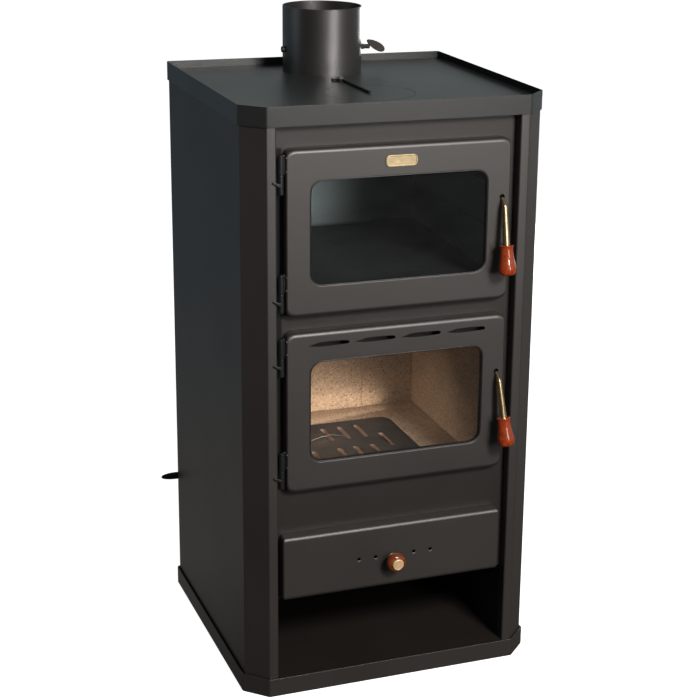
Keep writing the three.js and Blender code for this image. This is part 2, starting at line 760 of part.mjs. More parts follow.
// The floor board round the grate, with a rebate that carries the grate's edge
function floorBoard() {
  const side = innerHalf - SIDE_LINING - 2 * GAP;
  const board = box(-side, side, plateBack + GAP, liningBack - GAP, boardLow, fireFloor);
  const x = GRATE_HALF_WIDTH;
  const y0 = GRATE_CENTRE_Y - GRATE_DEPTH / 2;
  const y1 = GRATE_CENTRE_Y + GRATE_DEPTH / 2;
  const rebate = roundedRect(-x - GAP, x + GAP, y0 - GAP, y1 + GAP, GRATE_CORNER);
  const through = roundedRect(
    -x + GRATE_LEDGE, x - GRATE_LEDGE,
    y0 + GRATE_LEDGE, y1 - GRATE_LEDGE,
    GRATE_CORNER - GRATE_LEDGE,
  );
  return piece('floor_board', cut(
    board,
    prismZ(rebate, fireFloor - GRATE_THICKNESS, fireFloor + OVERRUN),
    prismZ(through, boardLow - OVERRUN, fireFloor),
  ), vermiculite);
}

function sideLining(name, hand) {
  const near = hand * (innerHalf - GAP);
  const far = hand * (innerHalf - SIDE_LINING - GAP);
  const y1 = liningBack + BACK_LINING;
  return piece(name, box(
    Math.min(near, far), Math.max(near, far),
    plateBack + GAP, y1,
    boardLow, liningTop,
  ), vermiculite);
}

function backLining(name, x0, x1) {
  return piece(name, box(x0, x1, liningBack, liningBack + BACK_LINING, boardLow, liningTop), vermiculite);
}

// Slots of the grate, as shares of its half width and half depth: x, nearer end, farther end
const grateSlotShares = [
  [-0.28, 0.14, 0.76],
  [0.02, 0.14, 0.76],
  [0.32, 0.14, 0.76],
  [0.6, -0.38, 0.27],
  [-0.75, -0.64, -0.21],
  [-0.3, -0.74, -0.2],
  [-0.02, -0.74, -0.2],
  [0.28, -0.74, -0.2],
];

function grate() {
  const x = GRATE_HALF_WIDTH;
  const y = GRATE_DEPTH / 2;
  const plan = roundedRect(-x, x, GRATE_CENTRE_Y - y, GRATE_CENTRE_Y + y, GRATE_CORNER);
  for (const [across, near, far] of grateSlotShares) {
    plan.holes.push(roundedRect(
      across * x - GRATE_SLOT_WIDTH / 2, across * x + GRATE_SLOT_WIDTH / 2,
      GRATE_CENTRE_Y + near * y, GRATE_CENTRE_Y + far * y,
      GRATE_SLOT_WIDTH / 2,
    ));
  }
  const casting = prismZ(plan, fireFloor - GRATE_THICKNESS, fireFloor, { curveSegments: SLOT_STEPS });
  return piece('grate', casting, castIron);
}

// A low bow of wire on the grate, to lift it out by
function grateWire() {
  const points = [];
  const bowSteps = 10;
  for (let i = 0; i <= bowSteps; i += 1) {
    const share = i / bowSteps;
    const along = (share - 1 / 2) * WIRE_SPAN;
    points.push(new THREE.Vector3(along, 0, WIRE_RISE * Math.sin(Math.PI * share)));
  }
  const bow = new THREE.ExtrudeGeometry(new THREE.Shape().absarc(0, 0, WIRE_RADIUS, 0, 2 * Math.PI), {
    steps: bowSteps,
    curveSegments: 3,
    extrudePath: new THREE.CatmullRomCurve3(points),
  });
  const mesh = piece('grate_lifting_wire', bow, brightSteel);
  mesh.position.set(WIRE_X, WIRE_Y, fireFloor + WIRE_RADIUS + GAP);
  mesh.rotation.z = WIRE_TURN;
  return mesh;
}

function ashShelf() {
  const side = innerHalf - GAP;
  return piece('ash_shelf', box(-side, side, plateBack, casingBack - GAP, shelfLow, shelfTop), darkSteel);
}

// A pressed tray with its front edges rounded, open behind: the doors and the drawer front
function pressedFront(outline, inner, depth, sheet, edge) {
  const blank = prismY(outline, edge, depth + edge, {
    bevelEnabled: true,
    bevelThickness: edge,
    bevelSize: edge,
    bevelOffset: -edge,
    bevelSegments: BEND_STEPS,
  });
  const reach = 2 * SHELL_WIDTH;
  const rear = box(-reach, reach, depth, depth + edge + edge + OVERRUN, -reach, reach);
  return cut(blank, rear, prismY(inner, sheet, depth + OVERRUN));
}

// Length and spacing of the air slots, as shares of the window's width
const airSlotShares = { length: 0.22887, pitch: 0.26303 };

// A thin curved slit that lets air wash the window
function airSlot(x, z) {
  const end = airSlotShares.length * windowHalf;
  const bow = AIR_SLOT_HEIGHT;
  const slit = new THREE.Shape();
  slit.moveTo(x - end, z);
  slit.quadraticCurveTo(x, z - bow, x + end, z);
  slit.quadraticCurveTo(x, z + bow, x - end, z);
  return prismY(slit, -OVERRUN, DOOR_SHEET + OVERRUN, { curveSegments: 4 });
}

function doorFrame(name, height, slotted) {
  const side = doorHalf;
  const outline = roundedRect(-side, side, 0, height, DOOR_CORNER);
  const inner = roundedRect(
    -side + DOOR_SHEET, side - DOOR_SHEET,
    DOOR_SHEET, height - DOOR_SHEET,
    DOOR_CORNER - DOOR_SHEET,
  );
  const window = roundedRect(-windowHalf, windowHalf, WINDOW_END, height - WINDOW_END, WINDOW_CORNER);
  const cuts = [
    prismY(window, -OVERRUN, DOOR_SHEET + OVERRUN),
    prismY(window, -OVERRUN, 0, {
      bevelEnabled: true,
      bevelThickness: WINDOW_EDGE,
      bevelSize: WINDOW_EDGE,
      bevelSegments: 1,
    }),
    rod(
      [handleX, -OVERRUN, HANDLE_RISE],
      [handleX, DOOR_SHEET + OVERRUN, HANDLE_RISE],
      HANDLE_ROD_RADIUS + RUNNING_GAP,
    ),
  ];
  for (let i = 0; slotted && i < AIR_SLOT_COUNT; i += 1) {
    const place = i - (AIR_SLOT_COUNT - 1) / 2;
    const x = 2 * place * airSlotShares.pitch * windowHalf;
    cuts.push(airSlot(x, height - AIR_SLOT_DROP));
  }
  const pressed = pressedFront(outline, inner, DOOR_DEPTH, DOOR_SHEET, DOOR_EDGE);
  return piece(name, cut(pressed, ...cuts), blackPaint);
}

function windowRing(height, inset, width) {
  const side = windowHalf + inset;
  const low = WINDOW_END - inset;
  const high = height - low;
  const ring = roundedRect(-side - width, side + width, low - width, high + width, WINDOW_CORNER + width);
  ring.holes.push(roundedRect(-side, side, low, high, WINDOW_CORNER));
  return ring;
}

function doorGlass(name, height) {
  const side = windowHalf + GLASS_MARGIN;
  const low = WINDOW_END - GLASS_MARGIN;
  const pane = box(-side, side, DOOR_SHEET, DOOR_SHEET + GLASS_THICKNESS, low, height - low);
  return piece(name, pane, glass);
}

function glassRetainer(name, height) {
  const y0 = DOOR_SHEET + GLASS_THICKNESS;
  const ring = windowRing(height, RETAINER_LIP, RETAINER_WIDTH);
  return piece(name, prismY(ring, y0, y0 + RETAINER_THICKNESS), darkSteel);
}

function doorGasket(name, height) {
  const y0 = DOOR_SHEET + GLASS_THICKNESS + RETAINER_THICKNESS;
  const y1 = RETURN_DEPTH - GAP;
  const ring = windowRing(height, GASKET_OFFSET - GASKET_WIDTH / 2, GASKET_WIDTH);
  return piece(name, prismY(ring, y0 + GASKET_ROUND, y1 - GASKET_ROUND, {
    bevelEnabled: true,
    bevelThickness: GASKET_ROUND,
    bevelSize: GASKET_ROUND,
    bevelOffset: -GASKET_ROUND,
    bevelSegments: 1,
    curveSegments: 2,
  }), ropeSeal);
}

// The turned grip, as shares of its radius and length, from its collar to its round end
const gripShares = [
  [0.86, 0],
  [0.9, 0.03],
  [0.8, 0.09],
  [0.73, 0.2],
  [0.76, 0.36],
  [0.88, 0.56],
  [1, 0.76],
  [0.96, 0.88],
  [0.74, 0.97],
  [0.35, 1],
];

// The handle hangs from its spindle: the group stands where the spindle crosses the door's face
function handle(prefix, tilt) {
  const group = new THREE.Group();
  group.position.set(handleX, 0, HANDLE_RISE);
  group.rotation.y = -tilt;
  const sweep = Math.PI / 2 - HANDLE_LEAN;
  const path = [new THREE.Vector3(0, HANDLE_INNER_LENGTH, 0), new THREE.Vector3(0, GAP, 0)];
  const elbowSteps = 8;
  for (let i = 0; i <= elbowSteps; i += 1) {
    const angle = sweep * i / elbowSteps;
    path.push(new THREE.Vector3(
      0,
      -HANDLE_STANDOFF - HANDLE_BEND * Math.sin(angle),
      -HANDLE_BEND * (1 - Math.cos(angle)),
    ));
  }
  const elbow = new THREE.ExtrudeGeometry(
    new THREE.Shape().absarc(0, 0, HANDLE_ROD_RADIUS, 0, 2 * Math.PI),
    { steps: 12, curveSegments: TUBE_SIDES, extrudePath: new THREE.CatmullRomCurve3(path) },
  );
  const down = new THREE.Vector3(0, -Math.sin(HANDLE_LEAN), -Math.cos(HANDLE_LEAN));
  const elbowEnd = path[path.length - 1];
  const along = (distance) => elbowEnd.clone().addScaledVector(down, distance).toArray();
  const body = join(
    elbow,
    rod(
      along(-HANDLE_ROD_RADIUS / 2),
      along(HANDLE_CONE_LENGTH),
      HANDLE_ROD_RADIUS,
      BORE_STEPS,
      HANDLE_CONE_RADIUS,
    ),
    rod(
      along(HANDLE_CONE_LENGTH - HANDLE_ROD_RADIUS),
      along(HANDLE_CONE_LENGTH + GRIP_BORE_DEPTH),
      GRIP_SPIGOT_RADIUS,
    ),
  );
  const boreEnd = GRIP_BORE_DEPTH + GAP;
  const profile = gripShares.map(([r, l]) => new THREE.Vector2(r * GRIP_RADIUS, -l * GRIP_LENGTH));
  profile.unshift(
    new THREE.Vector2(0, -boreEnd),
    new THREE.Vector2(GRIP_SPIGOT_RADIUS + GAP, -boreEnd),
    new THREE.Vector2(GRIP_SPIGOT_RADIUS + GAP, 0),
  );
  profile.push(new THREE.Vector2(0, -GRIP_LENGTH));
  const bulb = weld(new THREE.LatheGeometry(profile.reverse(), ROUND_STEPS));
  const up = down.clone().negate();
  bulb.applyQuaternion(new THREE.Quaternion().setFromUnitVectors(new THREE.Vector3(0, 1, 0), up));
  bulb.translate(...along(HANDLE_CONE_LENGTH + GAP));
  const tongueFront = TONGUE_DEPTH;
  const tongueBack = TONGUE_DEPTH + TONGUE_THICKNESS;
  const bar = box(-TONGUE_WIDTH / 2, TONGUE_WIDTH / 2, tongueFront, tongueBack, 0, TONGUE_LENGTH);
  const hub = rod([0, tongueFront, 0], [0, tongueBack, 0], TONGUE_HUB_RADIUS);
  const bore = rod(
    [0, tongueFront - OVERRUN, 0],
    [0, tongueBack + OVERRUN, 0],
    HANDLE_ROD_RADIUS + GAP,
  );
  group.add(
    piece(`${prefix}_handle_rod`, body, brass),
    piece(`${prefix}_handle_grip`, bulb, grip),
    piece(`${prefix}_latch_tongue`, cut(join(bar, hub), bore), rawSteel),
  );
  return group;
}

// The half of a hinge that is welded to the shell: lower knuckle, strap and pin
function hingeBracket(name, doorLow, rise) {
  const knuckleHigh = (HINGE_LENGTH - GAP) / 2;
  const strapY = -HINGE_DEPTH - GAP;
  const bracket = join(
    rod([0, 0, 0], [0, 0, knuckleHigh], HINGE_RADIUS),
    rod([0, 0, knuckleHigh - OVERRUN], [0, 0, HINGE_LENGTH + GAP], HINGE_PIN_RADIUS),
    box(
      -HINGE_STRAP_REACH, 0,
      strapY - HINGE_STRAP, strapY,
      HINGE_STRAP_RISE, HINGE_STRAP_RISE + HINGE_STRAP_HEIGHT,
    ),
  );
  const mesh = piece(name, bracket, blackPaint);
  mesh.position.set(hingeX, front + HINGE_DEPTH, doorLow + rise);
  return mesh;
}

// The half that is welded to the door: upper knuckle with its tab on the door's side
function hingeKnuckle(name, rise) {
  const low = (HINGE_LENGTH + GAP) / 2;
  const tabY = HINGE_TAB_SETBACK - HINGE_DEPTH;
  const knuckle = cut(
    join(
      rod([0, 0, low], [0, 0, HINGE_LENGTH], HINGE_RADIUS),
      box(
        HINGE_INSET - HINGE_TAB_THICKNESS, HINGE_INSET,
        tabY, tabY + HINGE_TAB_DEPTH,
        low, HINGE_LENGTH,
      ),
    ),
    rod([0, 0, low - OVERRUN], [0, 0, HINGE_LENGTH + OVERRUN], HINGE_PIN_RADIUS + GAP),
  );
  const mesh = piece(name, knuckle, blackPaint);
  mesh.position.set(hingeX, HINGE_DEPTH, rise);
  return mesh;
}

// A door stands in its own group, with the origin on its face, at the middle of its lower edge
function door(prefix, low, height, tilt, slotted) {
  const group = new THREE.Group();
  group.position.set(0, front, low);
  group.add(
    doorFrame(`${prefix}_door_frame`, height, slotted),
    doorGlass(`${prefix}_door_glass`, height),
    glassRetainer(`${prefix}_glass_retainer`, height),
    doorGasket(`${prefix}_door_gasket`, height),
    handle(prefix, tilt),
    hingeKnuckle(`${prefix}_upper_knuckle`, height - HINGE_TOP_MARGIN - HINGE_LENGTH),
    hingeKnuckle(`${prefix}_lower_knuckle`, HINGE_LOW_MARGIN),
  );
  return group;
}

function badgePlate() {
  const z = OVEN_DOOR_HEIGHT - BADGE_DROP;
  const plate = roundedRect(
    -BADGE_LENGTH / 2, BADGE_LENGTH / 2,
    z - BADGE_HEIGHT / 2, z + BADGE_HEIGHT / 2,
    BADGE_HEIGHT / 5,
  );
  return piece('badge_plate', prismY(plate, -BADGE_THICKNESS, 0), brass);
}

// Air holes beside the knob, as shares of half the width between the flanges
const drawerHoleShares = [-0.313, -0.168, 0.168, 0.313];

function drawerFront() {
  const left = -innerHalf + DRAWER_LEFT_GAP;
  const right = innerHalf - DRAWER_RIGHT_GAP;
  const outline = roundedRect(left, right, 0, DRAWER_FRONT_HEIGHT, DRAWER_EDGE + SHEET);
  const inner = roundedRect(left + SHEET, right - SHEET, SHEET, DRAWER_FRONT_HEIGHT - SHEET, DRAWER_EDGE);
  const hole = (x, z, radius) => rod([x, -OVERRUN, z], [x, SHEET + OVERRUN, z], radius);
  const airHole = (share) => hole(share * innerHalf, DRAWER_HOLE_RISE, DRAWER_HOLE_RADIUS);
  const holes = drawerHoleShares.map(airHole);
  holes.push(hole(KNOB_X, KNOB_RISE, KNOB_STEM_RADIUS + GAP));
  const pressed = pressedFront(outline, inner, DRAWER_FRONT_DEPTH, SHEET, DRAWER_EDGE);
  return piece('ash_drawer_front', cut(pressed, ...holes), blackPaint);
}

function drawerBox() {
  const side = innerHalf - DRAWER_BOX_INSET;
  const y0 = DRAWER_FRONT_DEPTH;
  const y1 = casingBack - DRAWER_BACK_GAP - front + DRAWER_PROUD;
  const z0 = GAP - DRAWER_LIFT;
  const outer = box(-side, side, y0, y1, z0, z0 + DRAWER_BOX_HEIGHT);
  const wall = DRAWER_SHEET;
  const inner = box(
    -side + wall, side - wall,
    y0 + wall, y1 - wall,
    z0 + wall, z0 + DRAWER_BOX_HEIGHT + OVERRUN,
  );
  return piece('ash_drawer_box', cut(outer, inner), darkSteel);
}

// The knob: a brass bolt with a rosette and a face, through a turned ring
function drawerKnob() {
  const group = new THREE.Group();
  group.position.set(KNOB_X, 0, KNOB_RISE);
  const ringFront = KNOB_RING_BACK + KNOB_RING_LENGTH;
  const nut = SHEET + GAP;
  const bolt = join(
    rod([0, nut + KNOB_NUT_LENGTH, 0], [0, -KNOB_LENGTH, 0], KNOB_STEM_RADIUS),
    rod([0, nut, 0], [0, nut + KNOB_NUT_LENGTH, 0], KNOB_NUT_RADIUS, HEXAGON),
    rod(
      [0, -GAP, 0],
      [0, -KNOB_RING_BACK / 2, 0],
      KNOB_ROSETTE_RADIUS,
      ROUND_STEPS,
      KNOB_STEM_RADIUS + GAP,
    ),
    rod(
      [0, -ringFront - GAP, 0],
      [0, -KNOB_LENGTH, 0],
      KNOB_FACE_RADIUS,
      ROUND_STEPS,
      KNOB_FACE_RADIUS - 2 * GAP,
    ),
  );
  const ringShares = [[0.45, 0], [0.8, 0.08], [0.97, 0.28], [1, 0.5], [0.94, 0.74], [0.78, 0.92], [0.62, 1]];
  const boreRadius = KNOB_STEM_RADIUS + GAP;
  const profile = ringShares.map(([r, l]) => new THREE.Vector2(r * KNOB_RING_RADIUS, l * KNOB_RING_LENGTH));
  profile.unshift(new THREE.Vector2(boreRadius, 0));
  profile.push(new THREE.Vector2(boreRadius, KNOB_RING_LENGTH), new THREE.Vector2(boreRadius, 0));
  const ring = weld(new THREE.LatheGeometry(profile, ROUND_STEPS));
  ring.rotateX(Math.PI);
  ring.translate(0, -KNOB_RING_BACK, 0);
  group.add(piece('drawer_knob_bolt', bolt, brass), piece('drawer_knob_ring', ring, grip));
  return group;
}

function ashDrawer() {
  const group = new THREE.Group();
  group.position.set(0, front - DRAWER_PROUD, drawerLow);
  group.add(drawerFront(), drawerBox(), drawerKnob());
  return group;
}

function airHoles() {
  const holes = [];
  for (let i = 0; i < AIR_HOLE_COUNT; i += 1) {
    const angle = 2 * Math.PI * i / AIR_HOLE_COUNT;
    const x = AIR_HOLE_CIRCLE * Math.cos(angle);
    const z = AIR_HOLE_CIRCLE * Math.sin(angle);
    holes.push(rod([x, -OVERRUN, z], [x, AIR_SHEET + OVERRUN, z], AIR_HOLE_RADIUS));
  }
  return holes;
}

// The rear air register: a holed plate with a stud, and a holed disc with a cranked lever
function airRegister() {
  const plateY = PANEL_SHEET;
  const discY = plateY + AIR_SHEET + GAP;
  const leverEnd = -AIR_LEVER_REACH;
  const group = new THREE.Group();
  group.position.set(airX, back, AIR_Z);
  const blank = rod([0, 0, 0], [0, AIR_SHEET, 0], AIR_PLATE_RADIUS, ROUND_STEPS);
  const plate = cut(blank, ...airHoles());
  const headY = AIR_SHEET + GAP + AIR_SHEET + GAP;
  const stud = join(
    rod([0, AIR_SHEET / 2, 0], [0, headY + AIR_STUD_HEAD_HEIGHT, 0], AIR_STUD_RADIUS),
    rod([0, headY, 0], [0, headY + AIR_STUD_HEAD_HEIGHT, 0], AIR_STUD_HEAD, HEXAGON),
  );
  const plateMesh = piece('air_inlet_plate', join(plate, stud), darkSteel);
  plateMesh.position.y = plateY;
  const disc = rod([0, 0, 0], [0, AIR_SHEET, 0], AIR_DISC_RADIUS, ROUND_STEPS);
  const crankEnd = AIR_CRANK_START + AIR_CRANK_RUN;
  const gripSheet = AIR_CRANK_STEP + AIR_SHEET;
  const armOutline = new THREE.Shape([
    new THREE.Vector2(0, 0),
    new THREE.Vector2(-AIR_CRANK_START, 0),
    new THREE.Vector2(-crankEnd, AIR_CRANK_STEP),
    new THREE.Vector2(leverEnd, AIR_CRANK_STEP),
    new THREE.Vector2(leverEnd, gripSheet),
    new THREE.Vector2(-crankEnd, gripSheet),
    new THREE.Vector2(-AIR_CRANK_START, AIR_SHEET),
    new THREE.Vector2(0, AIR_SHEET),
  ]);
  const arm = prismZ(armOutline, -AIR_LEVER_WIDTH / 2, AIR_LEVER_WIDTH / 2);
  const bore = rod([0, -OVERRUN, 0], [0, AIR_SHEET + OVERRUN, 0], AIR_STUD_RADIUS + GAP);
  const discMesh = piece('air_register_lever', cut(join(disc, arm), bore, ...airHoles()), darkSteel);
  discMesh.position.y = discY;
  const gripShare = [[0.75, 0], [0.95, 0.06], [1, 0.35], [0.85, 0.68], [0.5, 0.92], [0, 1]];
  const profile = gripShare.map(([r, l]) => new THREE.Vector2(r * AIR_GRIP_RADIUS, l * AIR_GRIP_LENGTH));
  profile.unshift(new THREE.Vector2(0, 0));
  const knob = new THREE.LatheGeometry(profile, 16);
  knob.rotateZ(Math.PI / 2);
  knob.translate(leverEnd + AIR_GRIP_LENGTH / 3, AIR_CRANK_STEP + AIR_SHEET / 2, 0);
  const slot = box(
    leverEnd - GAP, AIR_GRIP_LENGTH + leverEnd,
    AIR_CRANK_STEP - GAP, gripSheet + GAP,
    -AIR_LEVER_WIDTH / 2 - GAP, AIR_LEVER_WIDTH / 2 + GAP,
  );
  const knobMesh = piece('air_lever_grip', cut(knob, slot), grip);
  knobMesh.position.y = discY;
  group.add(plateMesh, discMesh, knobMesh);
  return group;
}

// The whole stove
const stove = new THREE.Group();
stove.name = 'wood_stove_with_oven';
const ovenDoor = door('oven', ovenDoorLow, OVEN_DOOR_HEIGHT, 0, false);
ovenDoor.add(badgePlate());
const fireDoor = door('fire', fireDoorLow, FIRE_DOOR_HEIGHT, FIRE_HANDLE_TILT, true);
const linerSide = innerHalf - SIDE_LINING - 2 * GAP;
stove.add(
  baseTray(),
  logFloor(),
  sidePanel('left_side_panel', -1),
  sidePanel('right_side_panel', 1),
  backPanel(),
  innerSidePlate('inner_left_plate', -1),
  innerSidePlate('inner_right_plate', 1),
  innerBackPlate(),
  frontPlate(),
  hobTray(),
  hobLid(),
  flueCollar(),
  damper(),
  bypass(),
  ovenBox(),
  fireboxBottom(),
  floorBoard(),
  sideLining('left_lining', -1),
  sideLining('right_lining', 1),
  backLining('back_lining_wide', -linerSide, BACK_SEAM_X - GAP),
  backLining('back_lining_narrow', BACK_SEAM_X, linerSide),
  grate(),
  grateWire(),
  ashShelf(),
  ashDrawer(),
  airRegister(),
  ovenDoor,
  fireDoor,
);
for (const [prefix, low, height] of [
  ['oven', ovenDoorLow, OVEN_DOOR_HEIGHT],
  ['fire', fireDoorLow, FIRE_DOOR_HEIGHT],
]) {
  stove.add(
    hingeBracket(`${prefix}_upper_hinge`, low, height - HINGE_TOP_MARGIN - HINGE_LENGTH),
    hingeBracket(`${prefix}_lower_hinge`, low, HINGE_LOW_MARGIN),
  );
}

export default stove;
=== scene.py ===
"""Looks of the wood stove with oven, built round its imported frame.

Metres, +Z up. The doors face -Y, and the origin is the middle of the base, on the floor.
"""

import json
import math

import bpy
from bpy.props import FloatProperty, FloatVectorProperty, PointerProperty
from mathutils import Matrix, Vector


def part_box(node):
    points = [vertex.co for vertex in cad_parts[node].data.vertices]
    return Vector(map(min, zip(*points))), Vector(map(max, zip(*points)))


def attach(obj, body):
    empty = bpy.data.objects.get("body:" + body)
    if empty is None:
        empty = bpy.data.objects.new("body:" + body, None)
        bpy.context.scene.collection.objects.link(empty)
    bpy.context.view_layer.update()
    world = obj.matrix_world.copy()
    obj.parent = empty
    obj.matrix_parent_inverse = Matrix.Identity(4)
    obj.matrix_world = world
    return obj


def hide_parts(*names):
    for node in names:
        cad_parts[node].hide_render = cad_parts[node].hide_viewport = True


bl_info = {
    "name": "Wood stove with oven",
    "version": (1, 0, 0),
    "blender": (4, 5, 0),
    "location": "3D View > Sidebar > Stove",
    "description": "Dresses the packed wood stove with its finished pieces, its finishes and a studio",
    "category": "Object",
}

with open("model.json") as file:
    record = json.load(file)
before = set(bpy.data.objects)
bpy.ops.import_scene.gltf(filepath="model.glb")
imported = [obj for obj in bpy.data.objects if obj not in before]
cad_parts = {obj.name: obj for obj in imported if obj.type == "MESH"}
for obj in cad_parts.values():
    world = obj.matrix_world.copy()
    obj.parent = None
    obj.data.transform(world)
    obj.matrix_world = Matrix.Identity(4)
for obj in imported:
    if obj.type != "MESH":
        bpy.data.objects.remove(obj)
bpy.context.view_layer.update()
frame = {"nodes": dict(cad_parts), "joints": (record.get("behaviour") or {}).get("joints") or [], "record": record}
body_of = {
    node: body
    for body, members in frame["record"]["behaviour"]["bodies"].items()
    for node in members
}
joint_place = {joint["name"]: Vector(joint["pos_m"]) for joint in frame["joints"] if "pos_m" in joint}
finishes = {}


# Sizes and colours


def tint(name, description, default):
    return FloatVectorProperty(
        name=name, description=description, subtype="COLOR", size=3, min=0, max=1, default=default,
    )


def measure(name, description, low, high, default):
    return FloatProperty(
        name=name, description=description, min=low, max=high, default=default,
        subtype="DISTANCE", unit="LENGTH",
    )


def power(name, description, default):
    return FloatProperty(name=name, description=description, min=0, default=default, unit="POWER")


def strength(name, description, default):
    return FloatProperty(name=name, description=description, min=0, default=default)


class StoveFinishes(bpy.types.PropertyGroup):
    paint: tint("Body paint", "Colour of the stove paint on the body and doors", (0.0185, 0.0152, 0.0133))
    hob: tint("Hob paint", "Colour of the paint on the hob", (0.0185, 0.021, 0.0205))
    steel: tint("Inner steel", "Colour of the inner sheets and the damper", (0.022, 0.02, 0.019))
    oven: tint("Oven steel", "Colour of the rolled steel inside the oven", (0.1, 0.112, 0.115))
    board: tint("Lining board", "Colour of the firebox boards", (0.55, 0.42, 0.29))
    brass: tint("Brass", "Colour of the brass handles and of the knob's rosette", (0.8, 0.6, 0.33))
    grip: tint("Grip", "Colour of the varnished wooden grips", (0.31, 0.043, 0.008))
    paint_roughness: FloatProperty(
        name="Paint roughness", description="Roughness of the stove paint",
        min=0, max=1, default=0.48, subtype="FACTOR",
    )


class StoveSizes(bpy.types.PropertyGroup):
    edge: measure("Sheet edge", "Rounding of the edges of the cut and folded sheets", 0.0001, 0.002, 0.0005)
    door_corner: measure("Door corner", "Radius of a door's corners, from the front", 0.002, 0.03, 0.018)
    door_edge: measure("Door edge", "Radius of a door's pressed front edge", 0.001, 0.01, 0.007)
    window_corner: measure("Window corner", "Radius of a window's corners", 0.005, 0.04, 0.02)
    board_edge: measure("Board edge", "Wear on the edges of the lining boards", 0.0002, 0.004, 0.0012)
    rod: measure(
        "Handle rod", "Radius from which a door handle's rod takes its thickness", 0.002, 0.006, 0.0035,
    )


class StudioSettings(bpy.types.PropertyGroup):
    front: power("Front panel", "Power of the soft light in front", 72)
    low: power("Low panel", "Power of the low soft light in front", 13)
    above: power("Top panel", "Power of the soft light above", 1)
    side: power("Side panel", "Power of the soft light at the left", 2.5)
    rear: power("Rear panel", "Power of the low soft light behind", 24)
    glow: power("Inner glow", "Power from which the small lights inside take theirs", 0.22)
    room: strength("Room", "Strength of the room's light on matt surfaces", 0.1)
    reflected: strength("Reflected room", "Strength of the room in glossy surfaces", 0.42)
    reflected_floor: strength("Reflected floor", "Strength of the floor behind in glossy surfaces", 0.22)


# Nodes of the materials and of the room


class Wire:
    """A node's output, on which sums are written as Python expressions."""

    def __init__(self, nodes, socket):
        self.nodes = nodes
        self.socket = socket

    def sum(self, operation, other):
        return self.nodes.node("ShaderNodeMath", {"operation": operation}, {0: self, 1: other})

    def __add__(self, other):
        return self.sum("ADD", other)

    def __sub__(self, other):
        return self.sum("SUBTRACT", other)

    def __mul__(self, other):
        return self.sum("MULTIPLY", other)

    __rmul__ = __mul__


class Nodes:
    """The nodes of one material or room."""

    def __init__(self, tree):
        self.tree = tree

    def node(self, kind, settings=None, inputs=None, output=0):
        made = self.tree.nodes.new(kind)
        for name, value in (settings or {}).items():
            setattr(made, name, value)
        for key, value in (inputs or {}).items():
            if isinstance(value, Wire):
                self.tree.links.new(value.socket, made.inputs[key])
            else:
                made.inputs[key].default_value = value
        return Wire(self, made.outputs[output])

    def band(self, value, low, high, first=0.0, last=1.0):
        """The value's part between low and high, brought to the range from first to last."""
        return self.node("ShaderNodeMapRange", {"clamp": True}, {
            "Value": value, "From Min": low, "From Max": high, "To Min": first, "To Max": last,
        })

    def rays(self, kind):
        """One for the rays of a kind, such as Camera or Glossy, and nought for the others."""
        return self.node("ShaderNodeLightPath", output=f"Is {kind} Ray")

    def shaders(self, factor, first, last):
        """One shader or the other, by the factor."""
        return self.node("ShaderNodeMixShader", None, {0: factor, 1: first, 2: last})

    def show(self, output, shader):
        """Joins a shader to the output of the material or the room."""
        self.tree.links.new(shader.socket, self.tree.nodes[output].inputs["Surface"])


class Recipe(Nodes):
    """The nodes of one material, round its Principled shader."""

    def __init__(self, name, **constants):
        self.material = bpy.data.materials.new(name)
        self.material.use_nodes = True
        super().__init__(self.material.node_tree)
        self.shader = self.tree.nodes["Principled BSDF"]
        for socket, value in constants.items():
            self.shader.inputs[socket.replace("_", " ")].default_value = value
        self.place = self.node("ShaderNodeTexCoord", output="Object")

    def along(self, axis):
        """The place on the piece along one axis, 0 to 2."""
        return self.node("ShaderNodeSeparateXYZ", None, {"Vector": self.place}, output=axis)

    def stretched(self, across, depth, up):
        """The place on the piece, stretched, for a pattern that runs one way."""
        return self.node("ShaderNodeMapping", None, {"Vector": self.place, "Scale": (across, depth, up)})

    def noise(self, scale, detail, place=None, rough=0.5):
        return self.node("ShaderNodeTexNoise", None, {
            "Vector": place or self.place, "Scale": scale, "Detail": detail, "Roughness": rough,
        })

    def mix(self, factor, first, last):
        colours = [c if isinstance(c, Wire) else (*c, 1) for c in (first, last)]
        return self.node("ShaderNodeMix", {"data_type": "RGBA"}, {
            0: factor, 6: colours[0], 7: colours[1],
        }, output=2)

    def feed(self, **values):
        for socket, value in values.items():
            self.tree.links.new(value.socket, self.shader.inputs[socket.replace("_", " ")])

    def bump(self, height, depth):
        self.feed(Normal=self.node("ShaderNodeBump", None, {
            "Height": height, "Distance": depth, "Strength": 1.0,
        }))


def toned(colour, gain):
    return tuple(min(1.0, channel * gain) for channel in colour)


# Colours that no setting changes
# Painted shade: the black that the paint takes where shadow is painted on it
painted_shade_black = (0.001, 0.001, 0.001)
# Painted light: the pale warm light seen down the grate's slots
painted_light_tan = (0.42, 0.3, 0.23)


